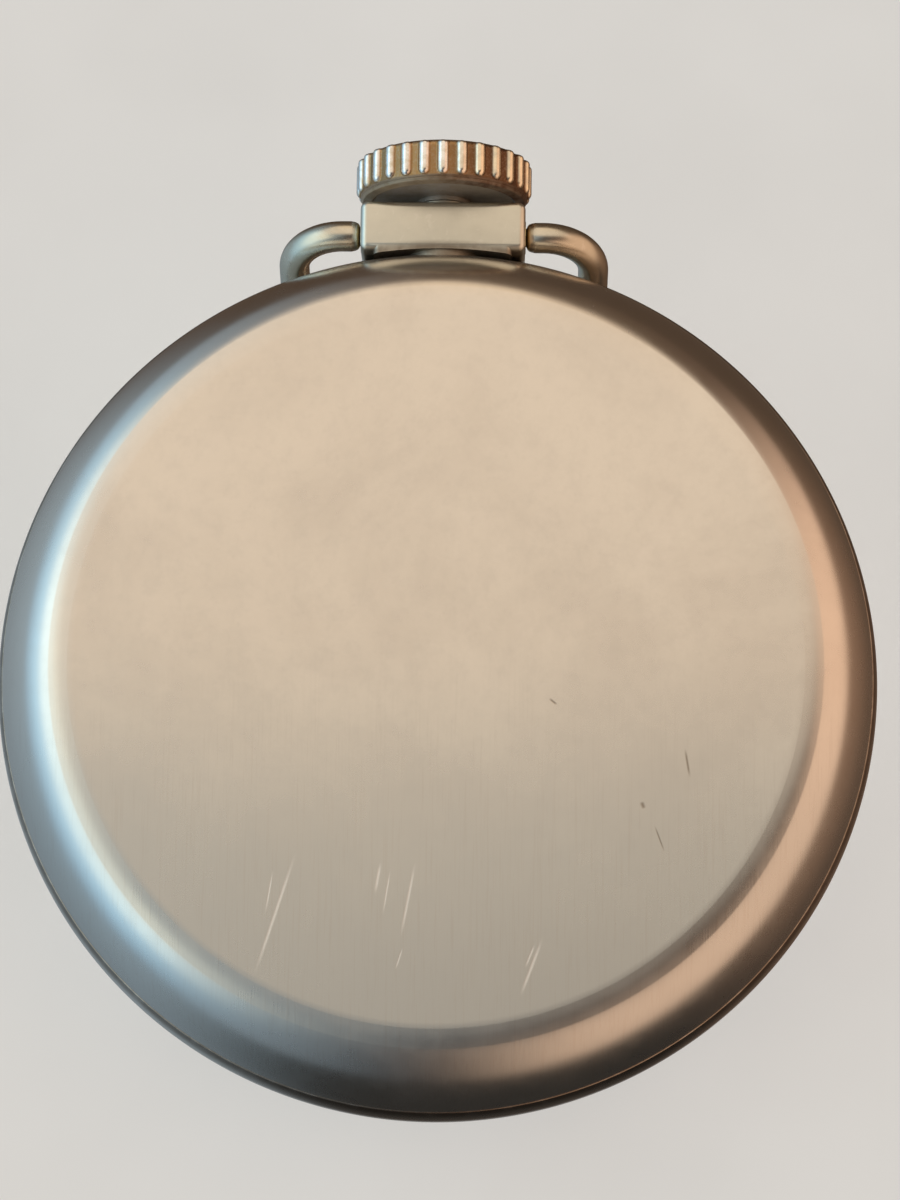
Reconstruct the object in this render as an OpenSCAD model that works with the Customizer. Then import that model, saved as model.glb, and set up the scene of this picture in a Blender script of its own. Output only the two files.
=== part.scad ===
// Open face pocket watch, 16 size, lever set stem wind movement.
// Everything is drawn lying dial up (x to 3 o'clock, y to 12 o'clock,
// z to the dial) and then stood up, so that 12 o'clock is up (+Z),
// the dial faces -Y and the back faces +Y. The stem's axis is at z = 0.

/* [Case] */
// Outside diameter of the case band
case_d = 51; // [50.8:0.1:51.4]
// Height of the domed back behind the stem axis
back_h = 6.1; // [6.0:0.05:6.4]
// Height of the bezel's top in front of the stem axis
bezel_h = 6.2; // [6.1:0.05:6.5]
// Height of the crystal's dome in front of the stem axis
crystal_h = 7.2; // [7.0:0.05:7.6]

/* [Pendant, bow and crown] */
// Width of the pendant block
block_w = 9.7; // [9:0.1:9.9]
// Thickness of the pendant block, dial to back
block_t = 4.9; // [4.4:0.1:5.4]
// Outside width of the bow
bow_w = 19.7; // [18.6:0.1:20.5]
// Thickness of the bow's wire
bow_wire = 1.8; // [1.4:0.05:1.85]
// Angle the bow hangs at, from straight up, towards the dial
bow_rest = 112; // [95:1:114]
// Diameter of the crown over its flutes
crown_d = 10.4; // [9:0.1:10.6]
// Number of flutes round the crown
crown_flutes = 28; // [20:1:32]

/* [Train] */
// Teeth on the mainspring barrel
barrel_n = 78; // [78:78]
// Leaves on the centre pinion
center_leaves = 12; // [12:12]
// Teeth on the centre wheel
center_n = 80; // [80:80]
// Teeth on the third wheel
third_n = 75; // [75:75]
// Teeth on the fourth wheel
fourth_n = 80; // [80:80]
// Leaves on the third and fourth pinions
train_leaves = 10; // [10:10]
// Leaves on the escape pinion
escape_leaves = 8; // [8:8]
// Teeth on the escape wheel
escape_n = 15; // [15:15]
// Turns of the mainspring in the barrel
mainspring_turns = 7; // [5:1:8]
// Turns of the hairspring
hairspring_turns = 8; // [6:1:10]

/* [Dial and hands] */
// Diameter of the dial
dial_d = 43.1; // [42.5:0.1:43.3]
// Length of the minute hand
minute_len = 17.2; // [16:0.1:18.5]
// Length of the hour hand
hour_len = 11.6; // [10:0.1:13]
// Length of the seconds hand
seconds_len = 3.7; // [3:0.1:4]

/* [Hidden] */

case_r = case_d/2;
back_r = case_r-0.42;        // edge of the back cover
bow_pivot_y = 26.55;

// ---- levels: [back, front] of each layer, z towards the dial ----
cock_z = [-4.7, -3.95];
winding_z = [-4.6, -4.05];   // ratchet wheel, crown wheel and click
bridge_z = [-4.0, -2.5];
hairspring_z = [-3.8, -3.62];
balance_z = [-3.35, -2.7];
pallet_bridge_z = [-2.55, -2.1];
center_z = [-2.35, -2.05];
fourth_z = [-1.55, -1.3];
barrel_z = [-1.5, 1.0];
escape_z = [-0.95, -0.7];
third_z = [-0.4, -0.15];
plate_z = [0.4, 2.0];
lever_z = [2.05, 2.4];       // setting and clutch levers
dial_z = [2.95, 3.6];

// ---- tooth counts, and gear modules (pitch diameter over teeth) ----
ratchet_n = 51;
crown_wheel_n = 32;
minute_n = 36;
minute_leaves = 10;
hour_n = 40;
cannon_n = 12;
setting_n = 22;
barrel_mod = 0.20;
center_mod = 0.16;
third_mod = 0.14;
fourth_mod = 0.12;
winding_mod = 0.24;
setting_mod = 0.25;          // setting wheel to cannon pinion
hour_mod = 0.24;

// ---- plan of the movement ----
function polar(radius, turn) = [radius*cos(turn), radius*sin(turn)];
function heading(from, to) = atan2(to[1]-from[1], to[0]-from[0]);
function toward(from, to) = (to-from)/norm(to-from);
// distance between the centres of two meshing gears
function spacing(gear_mod, teeth_a, teeth_b) = gear_mod*(teeth_a+teeth_b)/2;
// the point at distance reach_a from a and reach_b from b; side is 1 left of a to b, -1 right
function meet(a, reach_a, b, reach_b, side) = let(
  gap = norm(b-a),
  along = (gap*gap+reach_a*reach_a-reach_b*reach_b)/(2*gap),
  across = sqrt(reach_a*reach_a-along*along),
  unit = toward(a, b)) a + unit*along + side*across*[-unit[1], unit[0]];

center_at = [0, 0];
crown_wheel_at = [0, 14.6];
barrel_at = meet(center_at, spacing(barrel_mod, barrel_n, center_leaves),
  crown_wheel_at, spacing(winding_mod, ratchet_n, crown_wheel_n), -1);
fourth_at = [0, -9.8];       // at 6 o'clock
third_at = meet(center_at, spacing(center_mod, center_n, train_leaves),
  fourth_at, spacing(third_mod, third_n, train_leaves), -1);
escape_at = fourth_at + polar(spacing(fourth_mod, fourth_n, escape_leaves), -60);
balance_at = polar(11.4, -35);
escape_r = 3.6;
pallet_reach = escape_r/cos(30);                       // escape arbor to pallet arbor
pallet_at = escape_at + pallet_reach*toward(escape_at, balance_at);
fork_turn = heading(pallet_at, balance_at);
setting_at = [0, 10.6];
minute_at = meet(center_at, spacing(setting_mod, minute_n, cannon_n),
  setting_at, spacing(setting_mod, minute_n, setting_n), 1);
cock_foot_at = [8.6, -16.75];
cock_turn = heading(cock_foot_at, balance_at);
pallet_foot_at = [9.6, -12.9];
click_at = barrel_at + polar(7.95, 18);
setting_screw_at = [-3.0, 19.15];
clutch_screw_at = [4.2, 17.2];
case_screw_turns = [4, 176];
case_screw_r = 19.75;
dial_foot_turns = [40, 144, 262];
dial_foot_r = 18.6;
balance_clear_r = 8.75;      // room cut for the balance

// plate screws: place, head radius, level of the head's seat, head height
plate_screw_table = concat(
  [for (turn = [26, 62, 118, 160, 192, 245]) [polar(18.7, turn), 1.05, bridge_z[0]+0.45, 0.6]],
  [[cock_foot_at, 1.05, cock_z[0]+0.45, 0.6],
   [pallet_foot_at, 0.6, -2.35, 0.32]]);
cock_screw = plate_screw_table[6];
pallet_screw = plate_screw_table[7];

// ---- shapes ----
module stand() rotate([90, 0, 0]) children();
module at(place, z=0, turn=0)
  translate([place[0], place[1], z]) rotate([0, 0, turn]) children();
module cyl(place, radius, from, to)
  translate([place[0], place[1], from]) cylinder(r=radius, h=to-from, $fn=48);
module along_y(radius, from, to, facets=48)
  translate([0, from, 0]) rotate([-90, 0, 0]) cylinder(r=radius, h=to-from, $fn=facets);
// cylinder on the bow's pivot axis, outwards from start; side is 1 for +x, -1 for -x
module pivot_cyl(side, start, radius, length)
  translate([side*start, bow_pivot_y, 0]) rotate([0, side*90, 0])
    cylinder(r=radius, h=length, $fn=32);
module ring(place, inner, outer, from, to) difference() {
  cyl(place, outer, from, to);
  cyl(place, inner, from-1, to+1);
}
// box between two opposite corners
module slab(low, high) translate(low) cube(high-low);
// bar from one place to another
module beam(from, to, width, z) at(from, z[0], heading(from, to))
  translate([0, -width/2, 0]) cube([norm(to-from), width, z[1]-z[0]]);
// stepped round part; steps are [radius, from, to]
module arbor(place, steps) for (step = steps) cyl(place, step[0], step[1], step[2]);
// slotted cheese head screw, head from seat to top (the slotted end)
module screw(place, head_r, seat, top, shank_r, tip, turn) difference() {
  union() {
    cyl(place, head_r, min(seat, top), max(seat, top));
    cyl(place, shank_r, min(seat, tip), max(seat, tip));
  }
  at(place, top, turn) cube([3*head_r, 0.28*head_r, 0.24*head_r+0.3], center=true);
}
// prism along y with a bevelled rectangle of width (x) by thick (z) as its section
module bevel_prism(width, thick, bevel, length) {
  x = width/2;
  z = thick/2;
  rotate([90, 0, 0]) translate([0, 0, -length/2]) linear_extrude(length)
    polygon([[-x+bevel, -z], [x-bevel, -z], [x, -z+bevel], [x, z-bevel],
      [x-bevel, z], [-x+bevel, z], [-x, z-bevel], [-x, -z+bevel]]);
}
// superellipse quarter from the r axis to the z axis; side is 1 for +z, -1 for -z
function quarter(middle, half_r, half_z, power, steps, side) = [for (i = [0:steps])
  let(turn = 90*i/steps) [middle[0]+half_r*pow(cos(turn), 2/power),
    middle[1]+side*half_z*pow(sin(turn), 2/power)]];
// spiral strip, 24 steps a turn
function coil(inner, outer, turns, thick, start=0) = let(steps = turns*24)
  [for (side = [1, -1], i = [0:steps]) let(k = side > 0 ? i : steps-i)
    polar(inner+(outer-inner)*k/steps+side*thick/2, start+360*k/24)];

// ---- gears: six points a tooth, tooth centre at the phase angle ----
// tip and root are heights from the pitch circle in modules, flank is half a tooth in pitches
function toothed(teeth, gear_mod, phase, tip=0.85, root=1.1, flank=0.2) =
  [for (i = [0:teeth-1], point = [[-0.30, -root], [-flank, 0], [-0.08, tip],
      [0.08, tip], [flank, 0], [0.30, -root]])
    polar(gear_mod*(teeth/2+point[1]), phase+360/teeth*(i+point[0]))];
// openings between spokes, each one a list of points
function windows(count, start, inner, outer, half_spoke) = [for (j = [0:count-1]) let(
    from = start+360/count*j,
    span = 360/count,
    out_gap = asin(half_spoke/outer),
    in_gap = asin(half_spoke/inner))
  concat([for (i = [0:8]) polar(outer, from+out_gap+(span-2*out_gap)*i/8)],
    [for (i = [8:-1:0]) polar(inner, from+in_gap+(span-2*in_gap)*i/8)])];
// the phase that makes wheel b mesh with wheel a, whose own phase is 0
function mesh_phase(a, b, teeth_a, teeth_b) =
  heading(a, b)+180+180/teeth_b+heading(a, b)*teeth_a/teeth_b;
// polygon whose first loop is the outline and the others are holes
module pierced(loops) polygon([for (loop = loops) each loop],
  [for (i = [0:len(loops)-1]) let(first = len([for (j = [0:1:i-1]) each loops[j]]))
    [for (k = [0:len(loops[i])-1]) first+k]]);
module gear(place, teeth, gear_mod, phase, from, to, flank=0.2)
  at(place, from) linear_extrude(to-from) polygon(toothed(teeth, gear_mod, phase, flank=flank));
// wheel crossed out into five spokes, open from inner to outer radius
module spoked(place, teeth, gear_mod, z, inner, outer, half_spoke, start, bore) difference() {
  at(place, z[0]) linear_extrude(z[1]-z[0])
    pierced(concat([toothed(teeth, gear_mod, 0)], windows(5, start, inner, outer, half_spoke)));
  cyl(place, bore, -5, 5);
}

// ================= case =================
// band's edge drawn in from case_r, by step 0 (back) to 14 (front); widest at step 6
function band_inset(step) = let(rise = step/2-3)
  rise < 0 ? 0.37*pow(-rise/3, 2.2) : 0.38*pow(rise/4, 2.2);
module case_center() color("silver") stand() difference() {
  rotate_extrude($fn=180) polygon(concat(
    [[20.5, -1.2], [23.1, -1.2], [23.1, -0.15], [24.05, -0.15], [24.05, -1.12]],
    [for (i = [0:14]) [case_r-band_inset(i), -1.12+4.52*i/14]],
    [[23.75, 3.4], [23.75, 2.3], [22.95, 2.3], [22.95, 3.4], [21.85, 3.4], [21.85, 1.47],
     [20.5, 1.47]]));
  along_y(2.34, 19, 27);
}

module pendant() color("gainsboro") stand() difference() {
  union() {
    translate([0, 26.56, 0]) intersection() {          // block with bevelled edges
      bevel_prism(block_w, block_t, 0.45, 6);
      rotate([90, 0, 0]) bevel_prism(block_w, 3, 0.35, 8);
      rotate([0, 0, 90]) bevel_prism(3, block_t, 0.35, 14);
    }
    translate([0, 25, 0]) bevel_prism(block_w-1.6, block_t-0.04, 0.43, 1.6);   // its foot
    along_y(2.3, 22, 26.4);                            // tube through the band
  }
  difference() {                                       // rests on the round of the case
    union() {
      cyl(center_at, case_r+0.02, -1.14, 5);
      cyl(center_at, back_r+0.07, -5, -1.1);
    }
    along_y(2.31, 20, 27);
  }
  along_y(1.75, 20, 30);
  for (side = [-1, 1]) {                               // seats of the bow's bushes
    pivot_cyl(side, 3, 0.6, 4);
    pivot_cyl(side, block_w/2-0.75, 1.0, 4);
  }
}

module pendant_sleeve() color("tan") stand() difference() {
  union() {
    along_y(1.7, 22.4, 27.95);
    along_y(1.68, 27.95, 28.3, 64);
  }
  along_y(1.14, 20, 30);
}

module bow_bushes() color("darkgoldenrod") stand() for (side = [-1, 1]) difference() {
  pivot_cyl(side, block_w/2-0.73, 0.97, 0.76);
  pivot_cyl(side, block_w/2-1.73, 0.6, 4);
}

// stirrup of round wire: a half round with small turned corners and pivots turned in
module bow() color("gainsboro") stand()
  translate([0, bow_pivot_y, 0]) rotate([bow_rest, 0, 0]) {
    wire_r = bow_wire/2;
    arch_r = bow_w/2-wire_r;
    corner_r = 3;
    leg_top = 5.5;
    arm_start = block_w/2+0.1;
    translate([0, leg_top, 0]) rotate_extrude(angle=180, $fn=120)
      translate([arch_r, 0]) circle(r=wire_r, $fn=32);
    for (side = [0, 1]) mirror([side, 0, 0]) {
      translate([arch_r, corner_r, 0]) rotate([-90, 0, 0])
        cylinder(r=wire_r, h=leg_top-corner_r, $fn=32);
      translate([arch_r-corner_r, corner_r, 0]) rotate([0, 0, -90])
        rotate_extrude(angle=90, $fn=96) translate([corner_r, 0]) circle(r=wire_r, $fn=32);
      translate([arm_start, 0, 0]) rotate([0, 90, 0])
        cylinder(r=wire_r, h=arch_r-corner_r-arm_start, $fn=32);
      translate([block_w/2-1.4, 0, 0]) rotate([0, 90, 0]) cylinder(r=0.54, h=1.6, $fn=32);
    }
  }

module crown() color("silver") stand() difference() {
  flute_r = 0.3;
  tip_r = crown_d/2;
  body_r = tip_r-0.25;
  top_r = body_r-0.45;                                 // where the domed end starts
  union() {
    rotate([-90, 0, 0]) rotate_extrude($fn=140) polygon(concat(
      [[0, 28.38], [1.6, 28.38], [1.6, 28.64], [body_r-0.8, 28.64], [body_r-0.65, 28.5],
       [body_r-0.15, 28.6], [body_r, 28.78]],
      [for (i = [0:8]) let(turn = 90*i/8) [top_r+0.45*cos(turn), 30.7+0.4*sin(turn)]],
      [for (i = [1:6]) let(x = top_r*(1-i/6)) [x, 31.1+0.4*(1-pow(x/top_r, 2))]]));
    for (i = [0:crown_flutes-1]) rotate([0, 360/crown_flutes*i, 0])
      translate([tip_r-flute_r, 28.95, 0]) rotate([-90, 0, 0])
        cylinder(r=flute_r, h=1.9, $fn=24);
  }
  along_y(0.92, 28, 30.3);
}

module stem() color("lightsteelblue") stand() {
  // round lengths: radius, from, to
  for (step = [[0.5, 12.5, 14.45], [0.96, 18.65, 19.3], [0.55, 19.25, 20.05],
      [1.05, 20.0, 28.33], [0.9, 28.28, 30.2]])
    along_y(step[0], step[1], step[2]);
  slab([-0.5, 14.4, -0.5], [0.5, 18.7, 0.5]);          // square for the clutch
}

module back_cover() color("lightgray") stand() difference() {
  flat_r = 20.8;
  dome_h = back_h+0.65;
  edge_turn = asin(2/dome_h);
  rotate_extrude($fn=180) polygon(concat(
    [[0, -back_h]],
    [for (i = [0:8]) let(part = i/8) [12+8.8*part, -back_h+0.15*part*part]],
    [for (i = [1:23]) let(turn = 90-(90-edge_turn)*i/23)
      [flat_r+(back_r-flat_r)*cos(turn)/cos(edge_turn), 0.8-dome_h*sin(turn)]],
    [[23.95, -1.2], [23.95, -0.3], [23.5, -0.3]],
    quarter([19.5, -1.2], 4.0, back_h-1.95, 2.2, 16, -1),
    [[0, -back_h+0.6]]));
  slab([2.5, 23.9, -1.72], [3.9, 26, -1.1]);           // notch to open the back with a knife
  along_y(2.36, 20, 30);                               // notch round the pendant's tube
}

module bezel() color("gainsboro") stand() rotate_extrude($fn=180) polygon(concat(
  [for (i = [0:14]) quarter([21.4, 3.45], case_r-0.4-21.4, bezel_h-3.45, 2.1, 18, 1)[i]],
  [[22.3, bezel_h-0.03], [22.0, 5.7], [22.0, 4.8], [21.0, 4.8], [21.0, 3.75], [23.05, 3.75],
   [23.05, 2.4], [23.65, 2.4], [23.65, 3.45]]));

// dome over a radius, from the rim to the middle
function dome(radius, z, rise) = [for (i = [0:12]) let(x = radius*(1-i/12))
  [x, z+rise*(1-pow(x/radius, 2))]];
module crystal() color("lightcyan") stand() rotate_extrude($fn=180) polygon(concat(
  [[21.1, 4.84], [21.95, 4.84], [21.95, 5.5]],
  dome(21.8, 5.6, crystal_h-5.6),
  [for (i = [12:-1:0]) dome(20.9, 4.84, crystal_h-0.75-4.84)[i]]));

module case_screws() color("steelblue") stand() for (turn = case_screw_turns)
  screw(polar(case_screw_r, turn), 1.45, -1.27, -1.85, 0.5, 1.3, turn);

// ================= plates =================
module main_plate() color("khaki") stand() {
  main_plate_body();
  cyl(minute_at, 0.38, plate_z[1]-0.1, 2.9);           // minute wheel's post
  ring(setting_at, 0.3, 0.57, 1.3, 2.49);              // setting wheel's post
}
module main_plate_body() difference() {
  union() {
    cyl(center_at, 20.2, plate_z[0], plate_z[1]);
    cyl(center_at, 21.6, 1.52, plate_z[1]);
    slab([-1.4, 12.7, -0.9], [1.4, 13.8, plate_z[0]+0.1]);     // stem's inner bearing
    slab([-1.9, 18.75, -1.5], [1.9, 20.0, plate_z[0]+0.1]);    // stem's outer bearing
  }
  cyl(barrel_at, 8.35, plate_z[0]-3, 1.1);             // barrel sink
  cyl(barrel_at, 0.66, 0, 3);
  cyl(center_at, 0.95, 0, 3);
  cyl(setting_at, 3.15, 1.42, 3);                      // setting wheel sink
  slab([-1.75, 13.75, 0], [1.75, 18.7, 3]);            // clutch slot
  slab([-1.25, 18.6, 0.6], [1.25, 20.95, 3]);
  along_y(0.54, 12, 15);
  along_y(1.12, 18, 23);
  for (place = [third_at, fourth_at, escape_at, pallet_at, balance_at])
    cyl(place, 0.72, 0, 3);                            // jewel holes
  for (turn = dial_foot_turns) {
    cyl(polar(dial_foot_r, turn), 0.56, 0, 3);
    at(center_at, 0, turn) translate([18.9, 0, 1.05]) rotate([0, 90, 0]) {
      cylinder(r=0.42, h=5, $fn=24);
      translate([0, 0, 0.95]) cylinder(r=0.72, h=5, $fn=24);
    }
  }
  for (turn = case_screw_turns) cyl(polar(case_screw_r, turn), 0.52, 0, 3);
  for (row = plate_screw_table) cyl(row[0], 0.47, 0, 3);
  for (place = [setting_screw_at, clutch_screw_at]) cyl(place, 0.42, 0, 3);
}

// bridge's foot on the plate, an arc along its edge
module bridge_foot(start, end) {
  from = bridge_z[1]-0.1;
  to = plate_z[0]-0.02;
  intersection() {
    ring(center_at, 17.7, 19.9, from, to);
    translate([0, 0, from-1]) linear_extrude(to-from+2)
      polygon(concat([[0, 0]], [for (i = [0:4]) polar(40, start+(end-start)*i/4)]));
  }
}
// hole and head sink for a row of plate_screw_table
module screw_hole(row) {
  cyl(row[0], 0.47, -6, 3);
  cyl(row[0], row[1]+0.06, -6, row[2]);
}
module bridge_holes() {
  for (row = plate_screw_table) screw_hole(row);
  for (turn = case_screw_turns) cyl(polar(case_screw_r, turn), 1.75, -6, 0.6);
}

module barrel_bridge() color("khaki") stand() difference() {
  union() {
    intersection() {
      cyl(center_at, 20, bridge_z[0], bridge_z[1]);
      slab([-21, 2.6, -6], [21, 21, 3]);
    }
    bridge_foot(16, 69);
    bridge_foot(111, 166);
  }
  cyl(barrel_at, 0.88, -6, 0);
  cyl(crown_wheel_at, 1.28, -6, 0);
  cyl(click_at, 0.5, -6, 0);
  cyl(center_at, 2.2, -6, 0);
  slab([-2.1, 18.6, -1.6], [2.1, 21, 1]);
  bridge_holes();
}

module train_bridge() color("khaki") stand() difference() {
  union() {
    intersection() {
      cyl(center_at, 20, bridge_z[0], bridge_z[1]);
      slab([-21, -21, -6], [4.4, 2.3, 3]);
    }
    cyl(center_at, 2.1, bridge_z[0], bridge_z[1]);
    bridge_foot(186, 254);
  }
  cyl(balance_at, balance_clear_r, -6, 0);
  for (place = [center_at, third_at, fourth_at, escape_at]) cyl(place, 0.92, -6, 0);
  bridge_holes();
}

module balance_cock() color("khaki") stand() difference() {
  foot_top = plate_z[0]-0.02;
  union() {
    beam(cock_foot_at, balance_at, 4.6, cock_z);
    cyl(balance_at, 2.5, cock_z[0], cock_z[1]);
    intersection() {
      cyl(center_at, 20, cock_z[0], foot_top);
      difference() {
        cyl(cock_foot_at, 3.3, cock_z[0], foot_top);
        cyl(balance_at, balance_clear_r, -3.96, 3);
      }
      slab([4.95, -21, -6], [14, -10, 3]);
    }
  }
  cyl(balance_at, 0.75, -6, 0);
  screw_hole(cock_screw);
  cyl(balance_at-3.6*toward(cock_foot_at, balance_at), 0.4, -6, 0);
  cyl(escape_at, 3.8, -1.15, 3);                       // room for the escape wheel
}

module pallet_bridge() color("khaki") stand() difference() {
  union() {
    intersection() {
      beam(pallet_at, pallet_foot_at, 1.8, pallet_bridge_z);
      cyl(center_at, 20, -6, 3);
    }
    cyl(pallet_at, 1.15, pallet_bridge_z[0], pallet_bridge_z[1]);
    cyl(pallet_foot_at, 1.25, pallet_bridge_z[0], plate_z[0]-0.02);
  }
  cyl(pallet_at, 0.5, -6, 3);
  screw_hole(pallet_screw);
}

// ================= mainspring barrel and winding =================
module barrel() color("goldenrod") stand() difference() {
  union() {
    gear(barrel_at, barrel_n, barrel_mod, 0, -0.45, 0.05);
    at(barrel_at, barrel_z[0]) cylinder(r=7.35, h=barrel_z[1]-barrel_z[0], $fn=120);
  }
  at(barrel_at, barrel_z[0]+0.3) cylinder(r=6.8, h=1.85, $fn=120);
  at(barrel_at, barrel_z[1]-0.36) cylinder(r=7.0, h=1, $fn=120);    // cover's seat
  cyl(barrel_at, 0.86, -2, 0);
}
module barrel_cover() color("gold") stand()
  ring(barrel_at, 0.7, 6.98, barrel_z[1]-0.35, barrel_z[1]);
module barrel_arbor() color("lightsteelblue") stand() {
  hub_z = [barrel_z[0]+0.32, barrel_z[1]-0.37];
  arbor(barrel_at, [[0.82, -3.98, hub_z[0]], [1.5, hub_z[0], hub_z[1]],
    [0.62, barrel_z[1]-0.4, 1.9]]);
  at(barrel_at) slab([-0.56, -0.56, -4.55], [0.56, 0.56, -3.9]);
}
// flat strip wound from the arbor out to the barrel's wall
module mainspring() color("slategray") stand() at(barrel_at, barrel_z[0]+0.42)
  linear_extrude(1.55) polygon(coil(1.75, 6.6, mainspring_turns, 0.16));
module ratchet_wheel() color("lightsteelblue") stand() difference() {
  gear(barrel_at, ratchet_n, winding_mod, 0, winding_z[0], winding_z[1], flank=0.19);
  at(barrel_at) slab([-0.6, -0.6, -6], [0.6, 0.6, 0]);
}
module ratchet_screw() color("steelblue") stand()
  screw(barrel_at, 2.1, -4.62, -5.1, 0.3, -4.6, 40);
module crown_wheel() color("lightsteelblue") stand() difference() {
  union() {
    gear(crown_wheel_at, crown_wheel_n, winding_mod,
      mesh_phase(barrel_at, crown_wheel_at, ratchet_n, crown_wheel_n),
      winding_z[0], winding_z[1], flank=0.19);
    cyl(crown_wheel_at, 1.22, -4.1, -2.45);
  }
  cyl(crown_wheel_at, 0.62, -6, 0);
}
module crown_wheel_screw() color("steelblue") stand()
  screw(crown_wheel_at, 1.7, -4.62, -5.05, 0.6, -2.2, 75);
// contrate wheel under the bridge: its face teeth sit over the winding pinion
module winding_wheel() color("lightsteelblue") stand() difference() {
  union() {
    cyl(crown_wheel_at, 3.9, -2.42, -2.0);
    for (i = [0:23]) at(crown_wheel_at, 0, 15*i+7.5)
      slab([2.7, -0.24, -2.05], [3.86, 0.24, -1.62]);
  }
  cyl(crown_wheel_at, 0.62, -6, 0);
}
module winding_pinion() color("lightsteelblue") stand() difference() {
  translate([0, 17.3, 0]) rotate([-90, 0, 0]) linear_extrude(1.25)
    polygon(toothed(14, 0.18, 0, tip=1.3, root=1.2, flank=0.22));
  along_y(0.76, 17, 19);
}
module sliding_clutch() color("lightsteelblue") stand() difference() {
  union() {
    along_y(1.35, 14.75, 15.45);
    along_y(0.92, 15.4, 16.2);
    along_y(1.35, 16.15, 16.7);
    for (i = [0:9], y = [[16.65, 17.15], [14.5, 14.8]])        // teeth on both ends
      rotate([0, 36*i, 0]) slab([0.85, y[0], -0.14], [1.3, y[1], 0.14]);
  }
  slab([-0.54, 14, -0.54], [0.54, 18, 0.54]);
}
module click() color("lightsteelblue") stand() difference() {
  union() {
    cyl(click_at, 1.0, winding_z[0], winding_z[1]);
    at(click_at, winding_z[0], heading(click_at, barrel_at)) linear_extrude(0.55)
      polygon([[-0.2, -0.95], [0.9, 1.35], [1.42, 1.95], [1.1, 2.3], [-0.6, 1.6],
        [-0.95, 0.1]]);
  }
  cyl(click_at, 0.42, -6, 0);
}
// tapered arc round the ratchet wheel, with a round foot
module click_spring() color("steelblue") stand() {
  steps = 14;
  turn = heading(barrel_at, click_at);
  at(barrel_at, -4.5) linear_extrude(0.4) polygon(concat(
    [for (i = [0:steps]) polar(9.35+0.9*i/steps, turn+9+32*i/steps)],
    [for (i = [steps:-1:0]) polar(9.1+0.6*i/steps, turn+9+32*i/steps)]));
  cyl(barrel_at+polar(10.2, turn+42), 0.75, -4.5, -4.05);
}

// ================= train =================
module center_wheel() color("goldenrod") stand()
  spoked(center_at, center_n, center_mod, center_z,
    inner=1.5, outer=5.55, half_spoke=0.42, start=0, bore=0.8);
module center_arbor() color("lightsteelblue") stand() {
  arbor(center_at, [[0.3, -3.85, -2.4], [1.1, -2.46, center_z[0]], [0.79, -2.4, -1.0],
    [0.6, -1.1, 0.5], [0.45, 0.4, 4.5]]);
  gear(center_at, center_leaves, barrel_mod,
    mesh_phase(barrel_at, center_at, barrel_n, center_leaves), -1.1, 0.3);
}
module third_wheel() color("goldenrod") stand()
  spoked(third_at, third_n, third_mod, third_z,
    inner=1.2, outer=4.55, half_spoke=0.36, start=10, bore=0.6);
module third_arbor() color("lightsteelblue") stand() {
  arbor(third_at, [[0.15, -3.85, -2.5], [0.42, -2.52, 0.3], [0.59, -0.5, -0.13],
    [0.15, 0.2, 1.8]]);
  gear(third_at, train_leaves, center_mod,
    mesh_phase(center_at, third_at, center_n, train_leaves), -2.45, -1.9);
}
module fourth_wheel() color("goldenrod") stand()
  spoked(fourth_at, fourth_n, fourth_mod, fourth_z,
    inner=1.1, outer=4.15, half_spoke=0.32, start=30, bore=0.6);
module fourth_arbor() color("lightsteelblue") stand() {
  arbor(fourth_at, [[0.15, -3.85, -2.4], [0.4, -2.45, 0.3], [0.59, -1.6, -1.27],
    [0.2, 0.2, 3.88]]);
  gear(fourth_at, train_leaves, third_mod,
    mesh_phase(third_at, fourth_at, third_n, train_leaves), -0.6, 0.05);
}
module escape_wheel() color("goldenrod") stand() at(escape_at, escape_z[0])
  linear_extrude(escape_z[1]-escape_z[0]) {
    // points of one tooth: radius, angle
    tooth = [[2.75, -4], [escape_r-0.08, 4.6], [escape_r, 8.6], [escape_r-0.3, 7.6],
      [2.75, 3.2]];
    rim = [for (i = [0:escape_n-1], point = tooth) polar(point[0], 360/escape_n*i+point[1])];
    bore = [for (i = [0:23]) polar(0.42, 15*i)];
    pierced(concat([rim], windows(4, 20, 0.95, 2.4, 0.26), [bore]));
  }
module escape_arbor() color("lightsteelblue") stand() {
  arbor(escape_at, [[0.13, -3.85, -2.4], [0.3, -2.45, 0.2], [0.41, -1.05, -0.65],
    [0.13, 0.15, 1.8]]);
  gear(escape_at, escape_leaves, fourth_mod,
    mesh_phase(fourth_at, escape_at, fourth_n, escape_leaves), -1.75, -1.1);
}

// places of the two pallet stones, in the fork's frame
module at_stones(z) for (side = [-1, 1])
  translate([-0.62, side*2.1, z]) rotate([0, 0, side*12]) children();
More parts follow.
